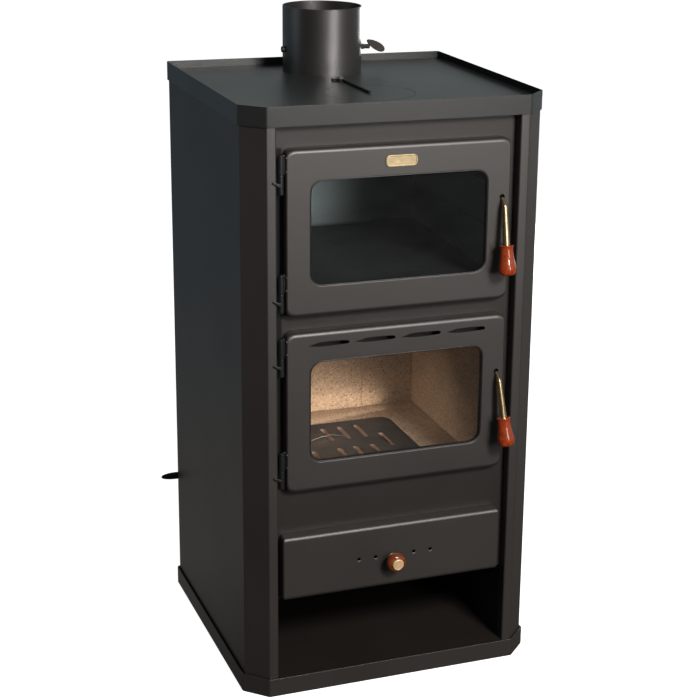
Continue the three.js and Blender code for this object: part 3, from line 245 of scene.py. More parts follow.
def stove_paint(name, colour, roughness, index, grain=1.0, shades=()):
    """Heat-proof paint: a fine sprayed grain, slightly cloudy, and black and dull in its painted shades.

    A painted shade lies where all its spans meet, each an axis, its two ends and how softly they end.
    """
    recipe = Recipe(name, Metallic=0.0, IOR=index)
    spray = recipe.noise(1500, 2)
    cloud = recipe.noise(5, 3)
    tone = recipe.mix(recipe.band(cloud, 0.3, 0.7), toned(colour, 0.9), toned(colour, 1.1))
    tone = recipe.mix(recipe.band(spray, 0.35, 0.75, 0.0, 0.35), tone, toned(colour, 1.7))
    gloss = recipe.band(cloud, 0.3, 0.7, roughness - 0.02, roughness + 0.02)
    # Painted shade: each group of spans blackens and dulls the paint where a shadow or a dark reflection falls
    for spans in shades:
        painted_shade = 1.0
        for axis, low, high, soft in spans:
            reach = recipe.along(axis)
            painted_shade = recipe.band(reach, low - soft, low + soft) * painted_shade
            painted_shade = recipe.band(reach, high - soft, high + soft, 1.0, 0.0) * painted_shade
        tone = recipe.mix(painted_shade, tone, painted_shade_black)
        gloss = gloss + painted_shade * (0.98 - roughness)
    recipe.feed(Base_Color=tone, Roughness=gloss)
    recipe.bump(spray + 0.6 * recipe.noise(420, 2), 0.00007 * grain)
    return recipe.material


def rolled_steel(name, colour, roughness, metallic, spots, floor=None):
    """Bare or blued sheet steel: rolling marks and stains, and a painted shade that darkens it on a floor at the
    height given.
    """
    recipe = Recipe(name, Metallic=metallic)
    marks = recipe.noise(60, 4, recipe.stretched(1, 12, 12))
    stain = recipe.noise(9, 5, rough=0.6)
    tone = recipe.mix(recipe.band(stain, 0.35, 0.68), toned(colour, 1 - spots), toned(colour, 1 + spots))
    tone = recipe.mix(recipe.band(marks, 0.4, 0.7, 0.0, 0.4), tone, toned(colour, 1.35))
    # Painted shade: the steel is darker on the floor, below the height given
    if floor is not None:
        clear = recipe.band(recipe.along(2), floor + 0.003, floor + 0.008)
        tone = recipe.mix(clear, toned(colour, 0.3), tone)
    recipe.feed(
        Base_Color=tone,
        Roughness=recipe.band(marks + stain, 0.7, 1.3, roughness - 0.08, roughness + 0.1),
    )
    recipe.bump(marks + 0.5 * recipe.noise(900, 2), 0.00004)
    return recipe.material


def cast_iron(name, gain, top=None):
    """Sand-cast iron: a coarse grain, brown where it has been hot, with a pale painted light under a given top."""
    recipe = Recipe(name, Metallic=0.25)
    grain = recipe.noise(700, 3)
    heat = recipe.noise(22, 4)
    tone = recipe.mix(
        recipe.band(heat, 0.35, 0.65), toned((0.045, 0.042, 0.04), gain), toned((0.085, 0.07, 0.058), gain),
    )
    tone = recipe.mix(recipe.band(grain, 0.5, 0.8, 0.0, 0.5), tone, toned((0.15, 0.13, 0.115), gain))
    # Painted light: below the given top the walls take a pale warm colour, for the light seen in the slots
    if top is not None:
        above_painted_light = recipe.band(recipe.along(2), top - 0.0014, top - 0.0003)
        tone = recipe.mix(above_painted_light, painted_light_tan, tone)
    recipe.feed(Base_Color=tone, Roughness=recipe.band(grain, 0.3, 0.7, 0.6, 0.85))
    recipe.bump(grain + 0.5 * recipe.noise(240, 2), 0.0003)
    return recipe.material


def lining_board(name, colour):
    """Pressed mineral board: pale flakes and dark specks in a sandy ground."""
    recipe = Recipe(name, Metallic=0.0)
    flakes = recipe.node("ShaderNodeTexVoronoi", {"feature": "F1"}, {
        "Vector": recipe.place, "Scale": 420.0, "Randomness": 1.0,
    }, output="Color")
    flake, fleck = (
        recipe.node("ShaderNodeSeparateColor", None, {"Color": flakes}, output=channel)
        for channel in (0, 1)
    )
    cloud = recipe.noise(16, 4)
    ground = recipe.mix(recipe.band(cloud, 0.3, 0.7), toned(colour, 0.88), toned(colour, 1.1))
    tone = recipe.mix(recipe.band(flake, 0.6, 0.95, 0.0, 0.75), ground, toned(colour, 1.45))
    tone = recipe.mix(recipe.band(fleck, 0.82, 0.96, 0.0, 0.7), tone, toned(colour, 0.35))
    recipe.feed(Base_Color=tone, Roughness=recipe.band(flake, 0.0, 1.0, 0.8, 0.97))
    recipe.bump(flake + recipe.noise(300, 3), 0.0004)
    return recipe.material


def polished_metal(name, colour, roughness, metallic=1.0):
    """Turned and polished metal: fine scratches, a little dulled in places."""
    recipe = Recipe(name, Metallic=metallic)
    dull = recipe.noise(120, 3)
    scratch = recipe.noise(900, 2, recipe.stretched(1, 1, 6))
    tone = recipe.mix(recipe.band(dull, 0.35, 0.75), colour, toned(colour, 0.72))
    recipe.feed(
        Base_Color=tone,
        Roughness=recipe.band(dull + 0.5 * scratch, 0.5, 1.1, roughness - 0.03, roughness + 0.05),
    )
    recipe.bump(scratch, 0.000006)
    return recipe.material


def varnished_wood(name, colour):
    """Red-brown wood along its grain, under a thick clear varnish."""
    recipe = Recipe(
        name, Metallic=0.0, Specular_IOR_Level=0.15, Coat_Weight=0.9, Coat_Roughness=0.05, Coat_IOR=1.5,
    )
    grain = recipe.noise(160, 4, recipe.stretched(6, 6, 0.8))
    pores = recipe.noise(700, 2, recipe.stretched(3, 3, 0.25))
    tone = recipe.mix(recipe.band(grain, 0.32, 0.68), toned(colour, 0.35), toned(colour, 1.5))
    tone = recipe.mix(recipe.band(pores, 0.6, 0.75, 0.0, 0.6), tone, toned(colour, 0.35))
    recipe.feed(Base_Color=tone, Roughness=recipe.band(grain, 0.3, 0.7, 0.28, 0.4))
    recipe.bump(grain, 0.00005)
    return recipe.material


def window_glass(name):
    """Clear heat-proof glass, with the thin grey haze that is left from wiping."""
    recipe = Recipe(name, Metallic=0.0, IOR=1.55)
    haze = recipe.noise(18, 4, recipe.stretched(1, 1, 2.5))
    wipe = recipe.noise(70, 3, recipe.stretched(0.4, 1, 4))
    recipe.feed(
        Base_Color=recipe.mix(recipe.band(haze, 0.35, 0.7), (0.028, 0.0305, 0.0315), (0.036, 0.04, 0.04)),
        Roughness=recipe.band(wipe, 0.35, 0.75, 0.03, 0.06),
        Alpha=recipe.band(haze, 0.35, 0.7, 0.13, 0.16),
    )
    return recipe.material


def braided_rope(name):
    """Glass-fibre rope: a diamond braid of fine strands."""
    recipe = Recipe(name, Metallic=0.0, Sheen_Weight=0.3)
    turns = 2600  # radians of the braid's wave in a metre
    across, depth, up = (recipe.along(axis) for axis in range(3))
    strands = [
        recipe.node("ShaderNodeMath", {"operation": "SINE"}, {0: turns * lean})
        for lean in (across + up + depth, across - up - depth)
    ]
    weave = strands[0] * strands[1]
    fibre = recipe.noise(2200, 2)
    tone = recipe.mix(recipe.band(weave, -0.6, 0.6), (0.03, 0.027, 0.025), (0.085, 0.078, 0.07))
    recipe.feed(Base_Color=tone, Roughness=recipe.band(fibre, 0.3, 0.7, 0.85, 1.0))
    recipe.bump(weave + 0.5 * fibre, 0.0005)
    return recipe.material


class STOVE_OT_finishes(bpy.types.Operator):
    """Makes the materials of the paint, the steels, the boards, the brass, the wood and the glass"""

    bl_idname = "stove.finishes"
    bl_label = "Finishes"

    def execute(self, context):
        colours = context.scene.stove_finishes
        rough = colours.paint_roughness
        fire_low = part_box("fire_door_frame")[0]
        oven_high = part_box("oven_door_frame")[1]
        hob_low, hob_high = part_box("hob_tray")
        lid_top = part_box("hob_lid")[1].z
        # Painted shade on the paint: a painted shadow beside the doors' hinges, a painted shadow under the hob's
        # band, and a painted dark reflection on the inner face of the hob's rim
        beyond = 2.0  # outside the stove
        hinge_side = ((0, -beyond, fire_low.x, 0.002), (2, fire_low.z, oven_high.z, 0.002))
        under_band = ((2, hob_low.z - 0.0035, hob_high.z, 0.0012),)
        rim = (
            (0, hob_high.x - 0.0026, hob_high.x - 0.0009, 0.0003),
            (2, lid_top + 0.0015, beyond, 0.001),
        )
        dull_paint = toned(colours.paint, 0.85)
        recipes = {
            "black_paint": (stove_paint, colours.paint, rough, 1.85),
            "plate_paint": (stove_paint, dull_paint, rough, 1.6, 1.0, (hinge_side, under_band)),
            "flue_paint": (stove_paint, toned(colours.paint, 0.7), rough - 0.12, 2.2),
            "hob_paint": (stove_paint, colours.hob, rough - 0.1, 1.6, 0.8, (rim,)),
            "dark_steel": (rolled_steel, colours.steel, 0.6, 0.3, 0.25),
            "sooty_steel": (rolled_steel, toned(colours.steel, 0.7), 0.8, 0.1, 0.4),
            "oven_steel": (rolled_steel, colours.oven, 0.5, 0.2, 0.12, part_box("oven_box")[0].z),
            "drawer_steel": (rolled_steel, (0.11, 0.095, 0.08), 0.5, 0.3, 0.25),
            "raw_steel": (rolled_steel, (0.2, 0.19, 0.175), 0.4, 0.9, 0.2),
            "bright_steel": (polished_metal, (0.62, 0.6, 0.56), 0.2),
            "cast_iron": (cast_iron, 0.6),
            "grate_iron": (cast_iron, 1.0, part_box("grate")[1].z),
            "vermiculite": (lining_board, colours.board),
            "brass": (polished_metal, colours.brass, 0.28),
            "knob_brass": (polished_metal, (0.92, 0.66, 0.38), 0.45, 0.4),
            "plate_brass": (polished_metal, (0.66, 0.53, 0.32), 0.5),
            "grip_wood": (varnished_wood, colours.grip),
            "knob_wood": (varnished_wood, (0.19, 0.04, 0.007)),
            "black_enamel": (stove_paint, (0.006, 0.0062, 0.007), 0.42, 1.6, 0.5),
            "glass": (window_glass,),
            "rope_seal": (braided_rope,),
        }
        for name, (make, *values) in recipes.items():
            finishes[name] = make(name, *values)
        return {"FINISHED"}


# Shaping


merge_distance = 0.000005  # under which two corners are one
touching = 1e-6  # under which a corner lies on a plane


def deselect():
    if bpy.context.object is not None and bpy.context.object.mode != "OBJECT":
        bpy.ops.object.mode_set(mode="OBJECT")
    bpy.ops.object.select_all(action="DESELECT")


def choose(obj):
    deselect()
    obj.select_set(True)
    bpy.context.view_layer.objects.active = obj


def named(name):
    obj = bpy.context.object
    obj.name = name
    obj.data.name = name
    return obj


def settle(obj):
    """Puts the object's place and turn into its mesh."""
    choose(obj)
    bpy.ops.object.transform_apply(location=True, rotation=True, scale=True)
    return obj


def pick(obj, part, test):
    """Selects the edges or faces that pass the test, and stays in edit mode."""
    choose(obj)
    bpy.ops.object.mode_set(mode="EDIT")
    bpy.ops.mesh.select_mode(type=part)
    bpy.ops.mesh.select_all(action="DESELECT")
    bpy.ops.object.mode_set(mode="OBJECT")
    if part == "EDGE":
        for edge in obj.data.edges:
            first, last = (obj.data.vertices[i].co for i in edge.vertices)
            edge.select = test(first, last)
    else:
        for face in obj.data.polygons:
            face.select = test(face.center, face.normal)
    bpy.ops.object.mode_set(mode="EDIT")


def everything(obj):
    """Selects the whole piece, and stays in edit mode."""
    choose(obj)
    bpy.ops.object.mode_set(mode="EDIT")
    bpy.ops.mesh.select_mode(type="FACE")
    bpy.ops.mesh.select_all(action="SELECT")


def round_edges(obj, test, width, segments):
    pick(obj, "EDGE", test)
    bpy.ops.mesh.bevel(offset=width, segments=segments, affect="EDGES")
    bpy.ops.object.mode_set(mode="OBJECT")


def drop_faces(obj, test):
    pick(obj, "FACE", test)
    bpy.ops.mesh.delete(type="FACE")
    bpy.ops.object.mode_set(mode="OBJECT")


def close_up(obj):
    """Merges what coincides, and turns the faces outwards."""
    everything(obj)
    bpy.ops.mesh.remove_doubles(threshold=merge_distance)
    bpy.ops.mesh.normals_make_consistent(inside=False)
    bpy.ops.object.mode_set(mode="OBJECT")


def modify(obj, kind, **settings):
    choose(obj)
    modifier = obj.modifiers.new(kind.lower(), kind)
    for name, value in settings.items():
        setattr(modifier, name, value)
    bpy.ops.object.modifier_apply(modifier=modifier.name)


def cut_away(obj, *cutters):
    for cutter in cutters:
        modify(obj, "BOOLEAN", operation="DIFFERENCE", solver="EXACT", object=cutter)
        bpy.data.objects.remove(cutter)


def joined(name, pieces):
    choose(pieces[0])
    for obj in pieces[1:]:
        obj.select_set(True)
    bpy.ops.object.join()
    return named(name)


def smooth(obj, angle=35):
    """Shades the arcs smooth, and lets the broad flat faces keep their own direction."""
    choose(obj)
    bpy.ops.object.shade_smooth_by_angle(angle=math.radians(angle))
    modify(obj, "WEIGHTED_NORMAL", keep_sharp=True, weight=80)


def soften(obj, width, segments):
    """Rounds the edges where a piece turns sharply."""
    sharp = 50
    modify(
        obj, "BEVEL", limit_method="ANGLE", angle_limit=math.radians(sharp),
        width=width, segments=segments, use_clamp_overlap=True,
    )
    smooth(obj, sharp)


def dress(obj, finish, *nodes, body=None):
    """Gives a finished piece its material, the body it rides on, and the nodes it stands for."""
    obj.data.materials.clear()
    obj.data.materials.append(finishes[finish])
    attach(obj, body or body_of[nodes[0]])
    if nodes:
        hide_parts(*nodes)
    return obj


def block(name, low, high):
    deselect()
    low, high = Vector(low), Vector(high)
    bpy.ops.mesh.primitive_cube_add(size=1, location=(low + high) / 2, scale=high - low)
    return settle(named(name))


def node_block(name, node):
    return block(name, *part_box(node))


def runs_along(axis):
    def test(first, last):
        step = last - first
        return abs(step[axis]) > 0.9 * step.length
    return test


def lies_at(axis, place):
    def test(first, last):
        return all(abs(corner[axis] - place) < touching for corner in (first, last))
    return test


def turned(name, profile, start, along, steps, hollow=False):
    """Turns a piece: each step of the profile is a radius and its distance along the axis."""
    deselect()
    radius, reach = profile[0]
    fill = "NOTHING" if hollow else "NGON"
    bpy.ops.mesh.primitive_circle_add(
        vertices=steps, radius=radius, fill_type=fill, location=(0, 0, reach),
    )
    obj = settle(named(name))
    bpy.ops.object.mode_set(mode="EDIT")
    bpy.ops.mesh.select_mode(type="EDGE" if hollow else "FACE")
    bpy.ops.mesh.select_all(action="SELECT")
    for next_radius, next_reach in profile[1:]:
        bpy.ops.mesh.extrude_region_move(
            TRANSFORM_OT_translate={"value": (0, 0, next_reach - reach)},
        )
        share = next_radius / radius
        bpy.ops.transform.resize(value=(share, share, 1), center_override=(0, 0, next_reach))
        radius, reach = next_radius, next_reach
    bpy.ops.object.mode_set(mode="OBJECT")
    close_up(obj)
    return aimed(obj, start, along)


def aimed(obj, start, along):
    """Stands a piece made along +Z on its start, pointing along."""
    turn = Vector((0, 0, 1)).rotation_difference(Vector(along).normalized())
    obj.matrix_world = Matrix.Translation(Vector(start)) @ turn.to_matrix().to_4x4()
    return settle(obj)


def flowing(shares, radius, length, fine):
    """A turned profile drawn smoothly through a few shares of a radius and a length."""
    points = [Vector((r * radius, l * length)) for r, l in shares]
    drawn = []
    for i in range(len(points) - 1):
        before = points[max(i - 1, 0)]
        here, there = points[i], points[i + 1]
        after = points[min(i + 2, len(points) - 1)]
        for k in range(fine):
            t = k / fine
            drawn.append(0.5 * (
                2 * here + (there - before) * t
                + (2 * before - 5 * here + 4 * there - after) * t ** 2
                + (3 * here - before - 3 * there + after) * t ** 3
            ))
    drawn.append(points[-1])
    return [(max(point.x, 0.0003), point.y) for point in drawn]


def swept(name, path, radius, radii=None, closed=False, roundness=7):
    """A round bar along a path, made as a curve and turned into a mesh."""
    deselect()
    bpy.ops.curve.primitive_nurbs_path_add()
    obj = named(name)
    cuts = math.ceil((len(path) - 1) / 4) - 1  # the primitive has four stretches
    bpy.ops.object.mode_set(mode="EDIT")
    bpy.ops.curve.select_all(action="SELECT")
    bpy.ops.curve.spline_type_set(type="POLY")
    if cuts > 0:
        bpy.ops.curve.subdivide(number_cuts=cuts)
    bpy.ops.object.mode_set(mode="OBJECT")
    spline = obj.data.splines[0]
    count = len(spline.points)
    for i, point in enumerate(spline.points):
        share = i * (len(path) - 1) / (count - 1)
        k = min(int(share), len(path) - 2)
        place = Vector(path[k]).lerp(Vector(path[k + 1]), share - k)
        point.co = (*place, 1)
        if radii:
            point.radius = radii[k] + (radii[k + 1] - radii[k]) * (share - k)
    spline.use_cyclic_u = closed
    obj.data.dimensions = "3D"
    obj.data.bevel_depth = radius
    obj.data.bevel_resolution = roundness
    obj.data.use_fill_caps = not closed
    choose(obj)
    bpy.ops.object.convert(target="MESH")
    obj = named(name)
    settle(obj)
    close_up(obj)
    return obj


def rounded_loop(across, up, depth, corner):
    """The points of an upright rectangle with round corners, back to its first one."""
    (left, right), (sill, head) = across, up
    steps = 8
    path = []
    for x, z, start in (
        (right - corner, head - corner, 0), (left + corner, head - corner, 90),
        (left + corner, sill + corner, 180), (right - corner, sill + corner, 270),
    ):
        for i in range(steps + 1):
            angle = math.radians(start + i * 90 / steps)
            path.append((x + corner * math.cos(angle), depth, z + corner * math.sin(angle)))
    return path + [path[0]]


def oval(name, length, outline):
    """An upright disc drawn out to a length: the outline gives a point's height from its share."""
    deselect()
    bpy.ops.mesh.primitive_circle_add(
        vertices=48, radius=0.5, fill_type="NGON", location=(0, 0, 0), rotation=(math.pi / 2, 0, 0),
    )
    obj = settle(named(name))
    for corner in obj.data.vertices:
        share = 2 * corner.co.x
        corner.co.x *= length
        corner.co.z = outline(share, corner.co.z)
    return obj


def dots(name, profile, places, along, steps, angle, finish, body):
    """Small turned pieces of one kind, such as screw heads, as one finished piece."""
    heads = [turned("dot", profile, place, along, steps) for place in places]
    obj = joined(name, heads)
    smooth(obj, angle)
    return dress(obj, finish, body=body)


def skin(node, finish, width=None, segments=2, whole=True):
    """A finished copy of a folded, cut or cast node, with its edges softened.

    A sheet with several openings isn't made whole: its flat faces stay in pieces.
    """
    source = frame["nodes"][node]
    obj = bpy.data.objects.new(f"{node}_finished", source.data.copy())
    bpy.context.scene.collection.objects.link(obj)
    choose(obj)
    bpy.ops.mesh.customdata_custom_splitnormals_clear()
    everything(obj)
    bpy.ops.mesh.mark_sharp(clear=True)
    bpy.ops.mesh.remove_doubles(threshold=merge_distance)
    if whole:
        bpy.ops.mesh.dissolve_limited(angle_limit=math.radians(0.5))
    bpy.ops.object.mode_set(mode="OBJECT")
    soften(obj, width or bpy.context.scene.stove_sizes.edge, segments)
    return dress(obj, finish, node)


# Shell and hob


class STOVE_OT_shell(bpy.types.Operator):
    """Finishes the folded shell, the base tray, the log bay and the inner casing"""

    bl_idname = "stove.shell"
    bl_label = "Shell"

    def execute(self, context):
        for node in ("left_side_panel", "right_side_panel", "back_panel", "base_tray"):
            skin(node, "black_paint")
        skin("front_plate", "plate_paint", whole=False)
        skin("log_floor", "plate_paint")
        for node in ("inner_left_plate", "inner_right_plate", "inner_back_plate", "ash_shelf"):
            skin(node, "dark_steel")
        low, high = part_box("back_panel")
        inset = 0.012
        profile = [(0.004, 0.0), (0.004, 0.0006), (0.0034, 0.0014), (0.0018, 0.0019), (0.0004, 0.002)]
        places = [
            (x, high.y, low.z + share * (high.z - low.z))
            for x in (low.x + inset, high.x - inset) for share in (0.03, 0.35, 0.65, 0.97)
        ]
        dots(
            "back_panel_screws", profile, places, (0, 1, 0), 20, 40, "raw_steel", body_of["back_panel"],
        )
        return {"FINISHED"}


class STOVE_OT_hob(bpy.types.Operator):
    """Finishes the hob and its round lid"""

    bl_idname = "stove.hob"
    bl_label = "Hob"

    def execute(self, context):
        skin("hob_tray", "hob_paint")
        skin("hob_lid", "hob_paint", 0.0008)
        return {"FINISHED"}


# Flue


class STOVE_OT_flue(bpy.types.Operator):
    """Makes the flue collar, and the damper with its key"""

    bl_idname = "stove.flue"
    bl_label = "Flue collar and damper"

    def execute(self, context):
        axis = joint_place["damper_turn"]
        self.collar(axis)
        skin("damper_spindle", "dark_steel", 0.0003)
        skin("damper_disc", "sooty_steel", 0.0004)
        self.key(axis)
        return {"FINISHED"}

    def collar(self, axis):
        """The tube with its eased rim, drilled for the damper's spindle."""
        wall = 0.002
        lip = 0.0005
        low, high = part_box("flue_collar")
        middle = (low + high) / 2
        outer = (high.x - low.x) / 2
        inner = outer - wall
        height = high.z - low.z
        profile = [
            (inner, 0), (outer, 0), (outer, height - lip), (outer - lip, height),
            (inner + lip, height), (inner, height - lip), (inner, 0),
        ]
        tube = turned("flue_collar_tube", profile, (middle.x, middle.y, low.z), (0, 0, 1), 128, True)
        bore = 0.0038
        side = 0.1
        drill = turned(
            "spindle_hole", [(bore, 0), (bore, 2 * side)], (axis.x - side, axis.y, axis.z), (1, 0, 0), 24,
        )
        cut_away(tube, drill)
        smooth(tube, 40)
        dress(tube, "flue_paint", "flue_collar")

    def key(self, axis):
        """The cast key: a turned hub with a slanting leaf, wider at its far end."""
        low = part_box("damper_key")[0]
        hub = turned("damper_key_hub", [
            (0.0038, 0), (0.0048, 0), (0.0051, 0.0008), (0.0048, 0.004), (0.0038, 0.009),
            (0.0036, 0.0125), (0.0042, 0.016), (0.003, 0.018),
        ], (low.x, axis.y, axis.z), (1, 0, 0), 24)
        length, height, thickness = 0.0358, 0.0136, 0.003
        slant = 0.52  # in radians
        leaf = oval("damper_key_leaf", length, lambda share, z: z * height * (1 + 0.22 * share))
        everything(leaf)
        bpy.ops.mesh.extrude_region_move(TRANSFORM_OT_translate={"value": (0, thickness, 0)})
        bpy.ops.object.mode_set(mode="OBJECT")
        close_up(leaf)
        reach, rise = 0.029, 0.0012  # of the leaf's middle, from the hub's start and its axis
        centre = Vector((low.x + reach, axis.y - thickness / 2, axis.z + rise))
        leaf.matrix_world = Matrix.Translation(centre) @ Matrix.Rotation(slant, 4, "Y")
        settle(leaf)
        round_edges(leaf, lambda first, last: abs(first.y - last.y) < 0.0005, 0.0009, 3)
        key = joined("damper_key_cast", [hub, leaf])
        smooth(key, 45)
        dress(key, "cast_iron", "damper_key")


class STOVE_OT_bypass(bpy.types.Operator):
    """Finishes the bent lever on the hob, with its pin and the shutter under the plate"""

    bl_idname = "stove.bypass"
    bl_label = "Bypass lever"

    def execute(self, context):
        skin("bypass_lever", "black_enamel", 0.0008, 3)
        skin("bypass_pin", "bright_steel", 0.0003)
        skin("bypass_shutter", "sooty_steel", 0.0004)
        return {"FINISHED"}


# Oven and firebox


class STOVE_OT_oven(bpy.types.Operator):
    """Finishes the oven box with its pressed runners"""

    bl_idname = "stove.oven"
    bl_label = "Oven box"

    def execute(self, context):
        skin("oven_box", "oven_steel", 0.001, 3)
        return {"FINISHED"}


class STOVE_OT_firebox(bpy.types.Operator):
    """Finishes the lining boards, the grate with its lifting wire, and the steel below them"""

    bl_idname = "stove.firebox"
    bl_label = "Firebox"

    def execute(self, context):
        edge = context.scene.stove_sizes.board_edge
        for node in ("floor_board", "left_lining", "back_lining_wide", "back_lining_narrow"):
            skin(node, "vermiculite", edge)
        right = skin("right_lining", "vermiculite", edge)
        low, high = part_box("right_lining")
        front, back = -0.0728, -0.0718  # the joint between the lining's two boards
        seam = block("seam", (low.x - 0.001, front, low.z - 0.01), (low.x + 0.002, back, high.z + 0.01))
        cut_away(right, seam)
        smooth(right)
        skin("firebox_bottom", "sooty_steel")
        skin("grate", "grate_iron", 0.0009, 3)
        self.lifting_wire()
        return {"FINISHED"}

    def lifting_wire(self):
        """The bow of wire by which the grate is lifted out."""
        low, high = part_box("grate_lifting_wire")
        radius = 0.0011
        steps = 24
        path = []
        for i in range(steps + 1):
            share = i / steps
            path.append((
                low.x + share * (high.x - low.x),
                low.y + radius + share * (high.y - low.y - 2 * radius),
                low.z + radius + (high.z - low.z - 2 * radius) * math.sin(math.pi * share),
            ))
        wire = swept("grate_wire_bow", path, radius, roundness=3)
        smooth(wire, 60)
        dress(wire, "raw_steel", "grate_lifting_wire")


# Doors


def pressed_tray(name, node, corner, edge, wall):
    """A pressed front: a shallow tray, open behind, with round corners and a rounded front edge."""
    obj = node_block(name, node)
    low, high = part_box(node)
    round_edges(obj, runs_along(1), corner, 8)
    round_edges(obj, lies_at(1, low.y), edge, 6)
    # The upright edges are half as wide, and what lies beside them is drawn out to meet them
    for point in obj.data.vertices:
        for side, turn in ((low.x, 1), (high.x, -1)):
            reach = (point.co.x - side) * turn
            if reach < 4 * edge:
                share = reach / edge
                point.co.x = side + turn * edge * (share / 2 if share < 1 else share - (4 - share) / 6)
    drop_faces(obj, lambda centre, normal: normal.y > 0.9)
    modify(obj, "SOLIDIFY", thickness=wall, offset=-1, use_even_offset=True)
    return obj


def slit(x, face, z, length, height):
    """A thin cutter, pointed at its left end and blunt at its right, that widens behind the sheet."""

    def outline(share, side):
        blunt = math.sqrt(1 - max(0.0, (share - 0.9) / 0.1) ** 2)
        half = height / 2 * blunt * (1 - 0.35 * share ** 2) * min(1.0, (1 + share) / 0.5) ** 0.8
        return half * 1.25 if side > 0 else -half * 0.75

    ahead, through, flare = 0.01, 0.0105, 0.003
    slope = 0.012  # in radians
    obj = oval("slit", length, outline)
    everything(obj)
    for reach in (through, flare):
        bpy.ops.mesh.extrude_region_move(TRANSFORM_OT_translate={"value": (0, reach, 0)})
    bpy.ops.transform.resize(value=(1.06, 1, 2.6), center_override=(0, through + flare, 0))
    bpy.ops.object.mode_set(mode="OBJECT")
    close_up(obj)
    obj.location = (x, face - ahead, z)
    obj.rotation_euler = (0, -slope, 0)
    return settle(obj)


class STOVE_OT_doors(bpy.types.Operator):
    """Makes the two pressed doors, with their windows, air slots, glass and retainers"""

    bl_idname = "stove.doors"
    bl_label = "Doors"

    def execute(self, context):
        sizes = context.scene.stove_sizes
        sheet = 0.0016
        overlap = 0.01  # of the glass behind the window's edge
        ahead = 0.01  # by which a cutter stands out of the sheet
        rod_hole, hole_rise = 0.0042, 0.0016
        slots_below_top = 0.021
        around = 0.001
        for prefix in ("oven", "fire"):
            node = f"{prefix}_door_frame"
            low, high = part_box(node)
            door = pressed_tray(f"{prefix}_door_pressed", node, sizes.door_corner, sizes.door_edge, sheet)
            glass_low, glass_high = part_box(f"{prefix}_door_glass")
            left, right = glass_low.x + overlap, glass_high.x - overlap
            sill, head = glass_low.z + overlap, glass_high.z - overlap
            window = block("window", (left, low.y - ahead, sill), (right, low.y + ahead, head))
            round_edges(window, runs_along(1), sizes.window_corner, 12)
            pivot = joint_place[f"{prefix}_handle_turn"]
            mouth = (pivot.x, low.y - ahead, pivot.z + hole_rise)
            hole = turned("hole", [(rod_hole, 0), (rod_hole, 2 * ahead)], mouth, (0, 1, 0), 32)
            cutters = [window, hole]
            if prefix == "fire":
                slots_up = high.z - slots_below_top
                cutters += self.air_slots((left + right) / 2, right - left, low.y, slots_up)
            cut_away(door, *cutters)
            on_face = lies_at(1, low.y)
            round_edges(door, lambda first, last: on_face(first, last) and all(
                left - around < corner.x < right + around and sill - around < corner.z < head + around
                for corner in (first, last)
            ), 0.0014, 4)
            smooth(door, 40)
            dress(door, "black_paint", node)
            dress_node(f"{prefix}_door_glass", "glass")
            self.window_seal_and_shade(prefix, (left, right), (sill, head), low.y + sheet, sizes.window_corner)
            skin(f"{prefix}_glass_retainer", "dark_steel", 0.0004)
            self.clamp_screws(prefix)
            self.weld_spots(prefix, low)
        return {"FINISHED"}

    def air_slots(self, middle, span, face, height):
        """The cutters of the four air slots, over the width of the firebox's window."""
        pitch, length = 0.26303 * span, 0.22887 * span
        tall = 0.0074
        return [slit(middle + (i - 1.5) * pitch, face, height, length, tall) for i in range(4)]

    def window_seal_and_shade(self, prefix, across, up, depth, corner):
        """The thin black seal between the glass and the edge of the window, whose black is partly a painted shade
        that keeps the window's edge dark.
        """
        radius = 0.0012
        inset = 0.0005
        across = (across[0] + inset, across[1] - inset)
        up = (up[0] + inset, up[1] - inset)
        path = rounded_loop(across, up, depth, corner)
        # Painted shade in part: a black seal that darkens the window's edge
        seal = swept(f"{prefix}_window_seal_and_shade", path, radius, closed=True, roundness=3)
        smooth(seal, 60)
        dress(seal, "black_enamel", body=f"{prefix}_door")

    def clamp_screws(self, prefix):
        """Screws round the ring that holds the glass."""
        low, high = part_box(f"{prefix}_glass_retainer")
        inset, from_side = 0.0035, 0.04
        profile = [(0.003, 0), (0.003, 0.0012), (0.0024, 0.002), (0.0008, 0.0022)]
        places = [
            (x, high.y, z)
            for x in (low.x + from_side, 0, high.x - from_side) for z in (low.z + inset, high.z - inset)
        ]
        places += [(x, high.y, (low.z + high.z) / 2) for x in (low.x + inset, high.x - inset)]
        dots(
            f"{prefix}_retainer_screws", profile, places, (0, 1, 0), 16, 40, "raw_steel", f"{prefix}_door",
        )

    def weld_spots(self, prefix, low):
        """Small welds on the door's edge, where the hinge tabs are fixed."""
        profile = [(0.0019, 0), (0.0017, 0.0004), (0.0011, 0.0008), (0.0004, 0.001)]
        places = []
        for end in ("upper", "lower"):
            tab_low, tab_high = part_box(f"{prefix}_{end}_knuckle")
            for share in (0.15, 0.85):
                z = tab_low.z + share * (tab_high.z - tab_low.z)
                places.append((low.x + 0.0012, low.y + 0.0015, z))
        dots(
            f"{prefix}_hinge_welds", profile, places, (-0.7, -0.7, 0), 16, 60,
            "black_paint", f"{prefix}_door",
        )


def dress_node(node, finish):
    """Gives a node that keeps its own shape the finish."""
    obj = frame["nodes"][node]
    for slot in obj.material_slots:
        slot.material = finishes[finish]


class STOVE_OT_seals(bpy.types.Operator):
    """Makes the braided rope seal round each window, behind the door"""

    bl_idname = "stove.seals"
    bl_label = "Rope seals"

    def execute(self, context):
        for prefix in ("oven", "fire"):
            node = f"{prefix}_door_gasket"
            low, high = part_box(node)
            radius = 0.004
            corner = 0.024
            middle = (low.y + high.y) / 2
            across = (low.x + radius, high.x - radius)
            up = (low.z + radius, high.z - radius)
            path = rounded_loop(across, up, middle, corner)
            rope = swept(f"{prefix}_rope", path, radius, closed=True, roundness=6)
            squash = (high.y - low.y) / (2 * radius)
            for point in rope.data.vertices:
                point.co.y = middle + (point.co.y - middle) * squash
            smooth(rope, 60)
            dress(rope, "rope_seal", node)
        return {"FINISHED"}


